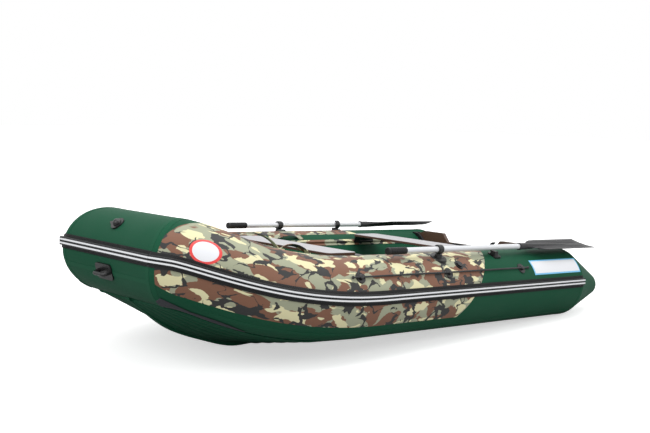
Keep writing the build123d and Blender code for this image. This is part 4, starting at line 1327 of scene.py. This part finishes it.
@dataclass
class Fittings(Assembly):
    """The lifelines, and the moulded ribs of rope holders and valves."""

    repeater: Repeater
    holder_x: tuple[float, float, float] = (0.672, 0.012, -0.636)
    holder_angle: float = 36.0
    holder_ribs: Spokes = Spokes(16, 0.021, (0.011, 0.0022, 0.0024))
    seat: float = 0.009           # the rope's middle over the tube
    rope_radius: float = 0.005
    strands: int = 3
    strand_reach: float = 0.50    # a strand's middle and radius, as shares of the rope's radius
    strand_radius: float = 0.52
    strand_sides: int = 6
    tail: float = 0.056           # rope past the end holders
    knot_radius: float = 0.0052
    knot_rope: float = 0.0034
    knot_tilts: tuple[float, float] = (0.0, 1.1)
    knot_sides: int = 18
    lay: float = 0.020            # length of one turn of the rope's strands
    lay_steps: int = 8
    valve_x: float = -0.109
    valve_angle: float = 49.0
    valve_ribs: Spokes = Spokes(20, 0.024, (0.006, 0.0020, 0.0024))

    def along_for(self, x: float, angle: float) -> float:
        """Length from the aft end at which the skin at this angle reaches x."""
        return halve(lambda s: self.line.skin(s, angle).x < x, 0.0, self.line.length)

    def rope(self, side: int) -> None:
        """The lifeline: three strands laid round each other, with a knot at each end.

        Args:
            side: Port or starboard.
        """
        lifted = [self.line.skin(self.along_for(x, self.holder_angle), self.holder_angle, self.seat)
                  for x in self.holder_x]
        first, last = (lifted[i] + (lifted[i] - lifted[1]).normalized() * self.tail
                       for i in (0, 2))
        path = []
        for start, stop in ((first, lifted[1]), (lifted[1], last)):
            steps = int((stop - start).length / (self.lay / self.lay_steps))
            path.extend(start + (stop - start) * (i / steps) for i in range(steps))
        path.append(last)
        skin = Skin()
        for strand in range(self.strands):
            points, walked = [], 0.0
            for index, point in enumerate(path):
                before, after = path[max(index - 1, 0)], path[min(index + 1, len(path) - 1)]
                heading = (after - before).normalized()
                out = Vector((-heading.y, heading.x, 0)).normalized()
                up = heading.cross(out)
                turn = 2 * math.pi * (walked / self.lay + strand / self.strands)
                ray = out * math.cos(turn) + up * math.sin(turn)
                points.append(row(point + ray * (self.rope_radius * self.strand_reach), side))
                walked += (after - point).length
            skin.rod(points, self.rope_radius * self.strand_radius, self.strand_sides)
        for end in (first, last):
            self.knot(skin, end, side)
        name = SIDE_NAMES[side]
        self.piece(skin, f"lifeline_rope_{name}", [Material.ROPE], "rope",
                   replaced=f"lifeline_{name}")

    def knot(self, skin: Skin, end: Vector, side: int) -> None:
        """Adds two crossed turns of rope.

        Args:
            skin: The gathered faces.
            end: The knot's middle.
            side: Port or starboard.
        """
        for tilt in self.knot_tilts:
            ring = []
            for i in range(self.knot_sides + 1):
                turn = 2 * math.pi * i / self.knot_sides
                x, y = math.cos(turn) * self.knot_radius, math.sin(turn) * self.knot_radius
                offset = Vector((x * math.sin(tilt), x * math.cos(tilt), y))
                ring.append(row(end + offset, side))
            skin.rod(ring, self.knot_rope)

    def spokes(self, kind: Spokes, x: float, angle: float, side: int) -> list[Place]:
        """Finds the places of the ribs on one fitting.

        Args:
            kind: The ribs.
            x: Where the fitting's middle is along the hull.
            angle: Its angle on the tube.
            side: Port or starboard.

        Returns:
            The place of each rib.
        """
        places = []
        point, heading, out, up = self.line.frame_at(self.along_for(x, angle))
        turn = math.radians(angle)
        normal = out * math.cos(turn) + up * math.sin(turn)
        across = normal.cross(heading)
        centre = point + normal * (self.line.radius + kind.high)
        for i in range(kind.count):
            spin = 2 * math.pi * (i + 0.5) / kind.count
            ray = heading * math.cos(spin) + across * math.sin(spin)
            aside = ray.dot(across) * kind.reach
            drop = aside * aside / (2 * self.line.radius)  # the tube falls away from the middle
            spot = centre + ray * kind.reach - normal * drop
            places.append((row(spot, side), turned(ray, normal, side)))
        return places

    def build(self) -> None:
        """Ropes, and the moulded ribs of holders and valves."""
        black = self.wardrobe.get(Material.BLACK_PLASTIC)
        for side, name in SIDE_NAMES.items():
            self.rope(side)
            for label, kind, angle, spots in (
                    ("holder", self.holder_ribs, self.holder_angle, self.holder_x),
                    ("valve", self.valve_ribs, self.valve_angle, (self.valve_x,))):
                places = [place for x in spots for place in self.spokes(kind, x, angle, side)]
                self.repeater.build(f"{label}_ribs_{name}", places, kind.size, black,
                                    "black_plastic")


@dataclass
class TransomParts(Assembly):
    """Rubber holders that grip the transom's ends, and the bolt heads of the motor pads."""

    aft_x: float = -1.1203
    board: float = 0.0286         # the gap between the two lips
    lip: float = 0.012            # thickness of a lip
    web: float = 0.005
    reach: float = 0.021          # how far a lip stands over the web at its middle
    run_out: float = 2.2          # how steeply the lips rise from the holder's ends
    outer_round: float = 0.003
    inner_round: float = 0.002
    first: float = 110.0          # the angles between which the holder lies
    last: float = 203.0
    runs: int = 60
    crisp: float = 35.0
    bolt_radius: float = 0.009
    bolt_high: float = 0.005
    bolt_inset: tuple[float, float] = (0.022, 0.024)
    bolt_rounds: int = 24
    bolt_crisp: float = 50.0
    # shares of the radius and the height, from the pad to the dome's top
    dome: tuple[tuple[float, float], ...] = ((1.0, -0.3), (1.0, 0.3), (0.8, 0.75), (0.4, 1.0))

    def holder_outline(self, high: float) -> list[tuple[float, float]]:
        """Draws the channel across the transom's edge.

        Args:
            high: The lips' height over the tube.

        Returns:
            Place along the hull and height over the tube of each corner.
        """
        aft, fore = self.aft_x, self.aft_x + self.board
        outer, inner = self.outer_round, self.inner_round
        half = [(aft - self.lip, HAIR), (aft - self.lip, high - outer),
                (aft - self.lip + outer, high), (aft - inner, high), (aft, high - inner),
                (aft, self.web)]
        return half + [(aft + fore - x, lift) for x, lift in reversed(half)]

    def holder(self, side: int) -> None:
        """A channel carried round the tube, its lips running out at both ends.

        Args:
            side: Port or starboard.
        """
        skin, rings = Skin(), []
        for i in range(self.runs + 1):
            share = i / self.runs
            angle = math.radians(self.first + (self.last - self.first) * share)
            rise = min(1.0, math.sin(math.pi * share) * self.run_out)
            ring = []
            for x, lift in self.holder_outline(self.web + self.reach * rise + HAIR):
                reach = self.line.radius + lift
                ring.append(row(Vector((x, self.line.half_beam + reach * math.cos(angle),
                                        self.line.height + reach * math.sin(angle))), side))
            rings.append(ring)
        skin.drum(rings)
        name = SIDE_NAMES[side]
        self.piece(skin, f"transom_holder_{name}", [Material.BLACK_RUBBER], "black_rubber",
                   self.crisp, f"transom_mount_{name}")

    def bolts(self) -> None:
        """Domed bolt heads near the corners of both pads."""
        skin, (inset_y, inset_z) = Skin(), self.bolt_inset
        for node, way in (("transom_pad_outer", -1), ("transom_pad_inner", 1)):
            low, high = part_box(node)
            tall = high[2] - low[2]
            lean = -tall * math.tan(TRIM)
            for y in (low[1] + inset_y, high[1] - inset_y):
                for z in (low[2] + inset_z, high[2] - inset_z):
                    share = (z - low[2]) / tall
                    face = low[0] - lean * (1 - share) if way < 0 else high[0] + lean * share
                    skin.drum([[Vector((face + way * out * self.bolt_high,
                                        y + self.bolt_radius * wide * math.cos(t),
                                        z + self.bolt_radius * wide * math.sin(t)))
                                for t in circle(self.bolt_rounds)] for wide, out in self.dome])
        self.piece(skin, "pad_bolts", [Material.STEEL], "steel", self.bolt_crisp)

    def build(self) -> None:
        """Both holders and all bolts."""
        for side in SIDE_NAMES:
            self.holder(side)
        self.bolts()


@dataclass
class Blades(Assembly):
    """Moulded oar blades: a ribbed web that leans outboard, a tapering spine and a socket."""

    beam: float = 0.637
    height: float = 0.450
    tip_x: float = -1.428         # the blade's aft end
    length: float = 0.715
    width: float = 0.150
    web: float = 0.0025           # half the web's thickness
    edge: float = 0.0008          # half of it at the rim
    socket: float = 0.019
    socket_bore: float = 0.016
    socket_length: float = 0.050
    socket_lap: float = 0.02      # how far the socket reaches into the web
    band: tuple[float, float] = (0.0155, 0.0212)
    band_at: tuple[float, float] = (0.001, 0.011)
    socket_rounds: int = 40
    neck: float = 0.9             # the web's half width at the socket over the socket's radius
    shoulder: float = 0.210
    slant: float = 0.046          # how much further aft the tip reaches outboard
    lean: float = math.radians(14)
    cup: float = 0.006            # how far the web's edges stand over its middle
    cup_run: float = 0.2
    spine_tip: float = 0.004
    spine_end: float = 0.25       # share of the length, from the tip, at which it's thinnest
    rib_high: float = 0.0035
    rib_half: float = 0.0045
    rib_shares: tuple[float, ...] = (0.34, 0.64)
    rib_stop: float = 0.05        # the ribs fade out at this distance from the tip
    rib_fade: float = 0.06
    runs: int = 72
    across: int = 64
    crisp: float = 45.0

    def __post_init__(self) -> None:
        """Works out where the socket's mouth is and where the web starts."""
        self.mouth = self.tip_x + self.length
        self.start = self.mouth - self.socket_length

    def half(self, x: float) -> float:
        """Finds half the blade's width.

        Args:
            x: The place along the blade.

        Returns:
            Half the width there.
        """
        share = clamp((self.start - x) / (self.start - self.mouth + self.shoulder))
        neck = self.socket * self.neck
        return neck + (self.width / 2 - neck) * share * share * (3 - 2 * share)

    def raised(self, x: float, y: float) -> float:
        """Finds the height of spine and ribs over the blade's middle plane.

        Args:
            x: The place along the blade.
            y: The place across it.

        Returns:
            The height.
        """
        end = self.tip_x + self.length * self.spine_end
        share = clamp((self.start - x) / (self.start - end))
        spine = self.socket + (self.spine_tip - self.socket) * share
        high = self.web
        if abs(y) < spine:
            high = max(high, math.sqrt(spine * spine - y * y))
        fade = clamp((x - self.tip_x - self.rib_stop) / self.rib_fade)
        for rib in self.rib_shares:
            off = abs(abs(y) - rib * self.width / 2)
            if off < self.rib_half and abs(y) < self.half(x) - self.rib_half:
                bump = math.cos(off / self.rib_half * math.pi / 2)
                high = max(high, self.web + self.rib_high * bump * fade)
        return high

    def place(self, x: float, y: float, z: float, side: int) -> Vector:
        """A point of the blade, leant about the shaft."""
        leant = Matrix.Rotation(-self.lean, 3, "X") @ Vector((x, y, z))
        return row(Vector((0, self.beam, self.height)) + leant, side)

    def web_point(self, i: int, j: int, way: int, side: int) -> Vector:
        """Finds a point on a face of the web.

        Args:
            i, j: The point's number along and across.
            way: 1 for the upper face, -1 for the lower.
            side: Port or starboard.

        Returns:
            The point as the boat stands.
        """
        v = -1 + 2 * j / self.across
        tip = self.tip_x + self.slant * (1 - v) / 2
        x = self.start + (tip - self.start) * i / self.runs
        y = v * self.half(x)
        high = self.edge if abs(v) == 1 or i == self.runs else self.raised(x, y)
        cup = self.cup * v * v * min(1.0, (self.start - x) / self.cup_run)
        return self.place(x, y, high * way + cup, side)

    def collar(self, skin: Skin, ends: tuple[float, float], radii: tuple[float, float],
               side: int) -> None:
        """Adds a hollow ring round the shaft.

        Args:
            skin: The gathered faces.
            ends: Its two ends along the hull.
            radii: Its bore and its outer radius.
            side: Port or starboard.
        """
        (first, last), (bore, outer) = ends, radii
        outline = ((first, bore), (first, outer), (last, outer), (last, bore), (first, bore))
        skin.grid([[self.place(x, radius * math.cos(t), radius * math.sin(t), side)
                    for t in circle(self.socket_rounds)] for x, radius in outline], closed=True)

    def build(self) -> None:
        """Both blades."""
        for side, name in SIDE_NAMES.items():
            skin = Skin()
            skin.slab(*([[self.web_point(i, j, way, side) for j in range(self.across + 1)]
                         for i in range(self.runs + 1)] for way in (1, -1)))
            self.collar(skin, (self.mouth, self.start - self.socket_lap),
                        (self.socket_bore, self.socket), side)
            near, far = self.band_at
            self.collar(skin, (self.mouth - near, self.mouth - far), self.band, side)
            self.piece(skin, f"blade_{name}", [Material.BLADE], "black_plastic", self.crisp,
                       f"oar_blade_{name}", f"oar_{name}")


@dataclass
class PackedPieces:
    """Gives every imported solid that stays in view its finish."""

    wardrobe: Wardrobe
    sided: dict[Material, tuple[str, ...]] = field(default_factory=lambda: {
        Material.BLACK_RUBBER: ("rub_strake", "oar_grip"),
        Material.PALE_RUBBER: ("rub_stripes",),
        Material.GREY_RUBBER: ("chine_strip",),
        Material.STEEL: ("stern_eye",),
        Material.ALLOY: ("oar_shaft",),
        Material.ROPE: ("stern_handle",),
        Material.CAMO_SOLID: ("seat_rail", "grab_loops"),
        Material.BLACK_PLASTIC: ("seat_brackets", "rope_holders", "valve", "rowlock_base",
                                 "oar_clip", "rowlock"),
    })
    single: dict[Material, tuple[str, ...]] = field(default_factory=lambda: {
        Material.BLACK_RUBBER: ("rub_strake_bow",),
        Material.PALE_RUBBER: ("rub_stripes_bow",),
        Material.SEAM: ("keel_strip",),
        Material.PVC: ("hull_bottom",),
        Material.PLYWOOD: ("transom",),
        Material.THWART: ("thwart_front", "thwart_aft"),
        Material.BLACK_PLASTIC: ("transom_pad_outer", "transom_pad_inner", "drain_plug",
                                 "bow_eye", "tow_handle"),
    })

    def dress(self, name: str, look: Material) -> None:
        """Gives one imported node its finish.

        Args:
            name: The node's name.
            look: The finish.
        """
        node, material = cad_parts[name], self.wardrobe.get(look)
        if not node.material_slots:
            node.data.materials.append(material)
        for slot in node.material_slots:
            slot.material = material
        LOG.info("%s: %s", name, look.value)

    def build(self) -> None:
        """Dresses every node in the two lists."""
        for look, bases in self.sided.items():
            for name in (f"{base}_{side}" for base in bases for side in SIDE_NAMES.values()):
                self.dress(name, look)
        for look, names in self.single.items():
            for name in names:
                self.dress(name, look)


# ---- the studio


@dataclass(frozen=True)
class Lamp:
    """One soft box, aimed at a point."""

    name: str
    place: tuple[float, float, float]
    target: tuple[float, float, float]
    size: tuple[float, float]
    power: float

    def build(self) -> None:
        """Sets up the lamp."""
        data = bpy.data.lights.new(self.name, "AREA")
        data.shape = "RECTANGLE"
        data.size, data.size_y = self.size
        data.energy = self.power
        lamp = bpy.data.objects.new(self.name, data)
        lamp.location = self.place
        aim = Vector(self.target) - Vector(self.place)
        lamp.rotation_euler = aim.to_track_quat("-Z", "Y").to_euler()
        bpy.context.scene.collection.objects.link(lamp)


@dataclass
class Studio:
    """Floor, lamps, world and camera."""

    floor_half: float = 40.0
    floor_white: Color = (0.93, 0.93, 0.935, 1.0)
    floor_grey: Color = (0.50, 0.50, 0.50, 1.0)  # what the boat gets back from the floor
    floor_rough: float = 0.9
    floor_specular: float = 0.1
    glow: float = 0.56            # the floor's own light near the boat, and what far off adds
    glow_far: float = 0.4
    glow_span: tuple[float, float] = (2.4, 7.0)
    world_light: float = 0.70
    camera_at: tuple[float, float, float] = (4.1018, 4.026, 1.2388)
    right: tuple[float, float, float] = (-0.71978, 0.69377, 0.02461)
    up: tuple[float, float, float] = (-0.05676, -0.09414, 0.99394)
    ahead: tuple[float, float, float] = (-0.69188, -0.71402, -0.10713)
    lens: float = 56.27
    sensor: float = 36.0
    lamps: tuple[Lamp, ...] = (
        Lamp("overhead", (0.2, 0.6, 4.2), (0, 0, 0.2), (5.0, 3.6), 118.0),
        Lamp("front_left", (4.6, 0.6, 2.8), (0.3, 0.2, 0.3), (2.6, 2.2), 54.0),
        Lamp("side_right", (-1.2, 4.8, 2.6), (-0.2, 0.3, 0.3), (3.2, 2.0), 50.0),
    )

    def floor(self) -> None:
        """A pale floor that shows as white away from the boat's shadow."""
        half = self.floor_half
        mesh = bpy.data.meshes.new("studio_floor")
        mesh.from_pydata([(half, -half, 0), (half, half, 0), (-half, half, 0), (-half, -half, 0)],
                         [], [(0, 1, 2, 3)])
        material = bpy.data.materials.new("floor_white")
        material.use_nodes = True
        shader = Shader(material.node_tree)
        seen = shader.add("LightPath").outputs["Is Camera Ray"]
        spot = shader.add("TexCoord").outputs["Object"]
        distance = shader.put(shader.add("VectorMath", operation="LENGTH"), {0: spot})
        far = shader.ramp(distance.outputs["Value"], *self.glow_span)
        glow = shader.math("ADD", shader.math("MULTIPLY", far, self.glow_far), self.glow)
        shader.put(material.node_tree.nodes["Principled BSDF"], {
            "Base Color": shader.mix(seen, self.floor_grey, self.floor_white),
            "Roughness": self.floor_rough, "Specular IOR Level": self.floor_specular,
            "Emission Color": WHITE, "Emission Strength": shader.math("MULTIPLY", seen, glow)})
        mesh.materials.append(material)
        floor = bpy.data.objects.new("studio_floor", mesh)
        bpy.context.scene.collection.objects.link(floor)

    def world(self) -> None:
        """White to the camera and to reflections, soft light on the boat."""
        world = bpy.data.worlds.new("studio")
        world.use_nodes = True
        bpy.context.scene.world = world
        shader = Shader(world.node_tree)
        path = shader.add("LightPath")
        seen = path.outputs["Is Camera Ray"]
        for ray in ("Is Glossy Ray", "Is Transmission Ray"):
            seen = shader.math("MAXIMUM", seen, path.outputs[ray])
        more = shader.math("MULTIPLY", seen, 1.0 - self.world_light)
        shader.put(world.node_tree.nodes["Background"], {
            "Strength": shader.math("ADD", more, self.world_light), "Color": WHITE})

    def camera(self) -> None:
        """The photograph's viewpoint."""
        data = bpy.data.cameras.new("view")
        data.lens = self.lens
        data.sensor_width = self.sensor
        data.sensor_fit = "HORIZONTAL"
        camera = bpy.data.objects.new("view", data)
        turn = Matrix((self.right, self.up, -Vector(self.ahead))).transposed().to_4x4()
        camera.matrix_world = Matrix.Translation(self.camera_at) @ turn
        bpy.context.scene.collection.objects.link(camera)
        bpy.context.scene.camera = camera

    def build(self) -> None:
        """Everything round the boat."""
        self.floor()
        self.world()
        for lamp in self.lamps:
            lamp.build()
        self.camera()
        bpy.context.scene.view_settings.view_transform = "Standard"


def main() -> None:
    """Builds the studio and dresses the boat, piece by piece."""
    logging.basicConfig(level=logging.INFO, format="%(name)s: %(message)s")
    wardrobe, repeater, line = Wardrobe(), Repeater(), TubeLine()
    for part in (Studio(), PackedPieces(wardrobe), Tubes(line, wardrobe),
                 SkinPanels(line, wardrobe), StrakeRibs(line, wardrobe, repeater),
                 Fittings(line, wardrobe, repeater), TransomParts(line, wardrobe),
                 Blades(line, wardrobe)):
        part.build()


if __name__ == "__main__":
    main()
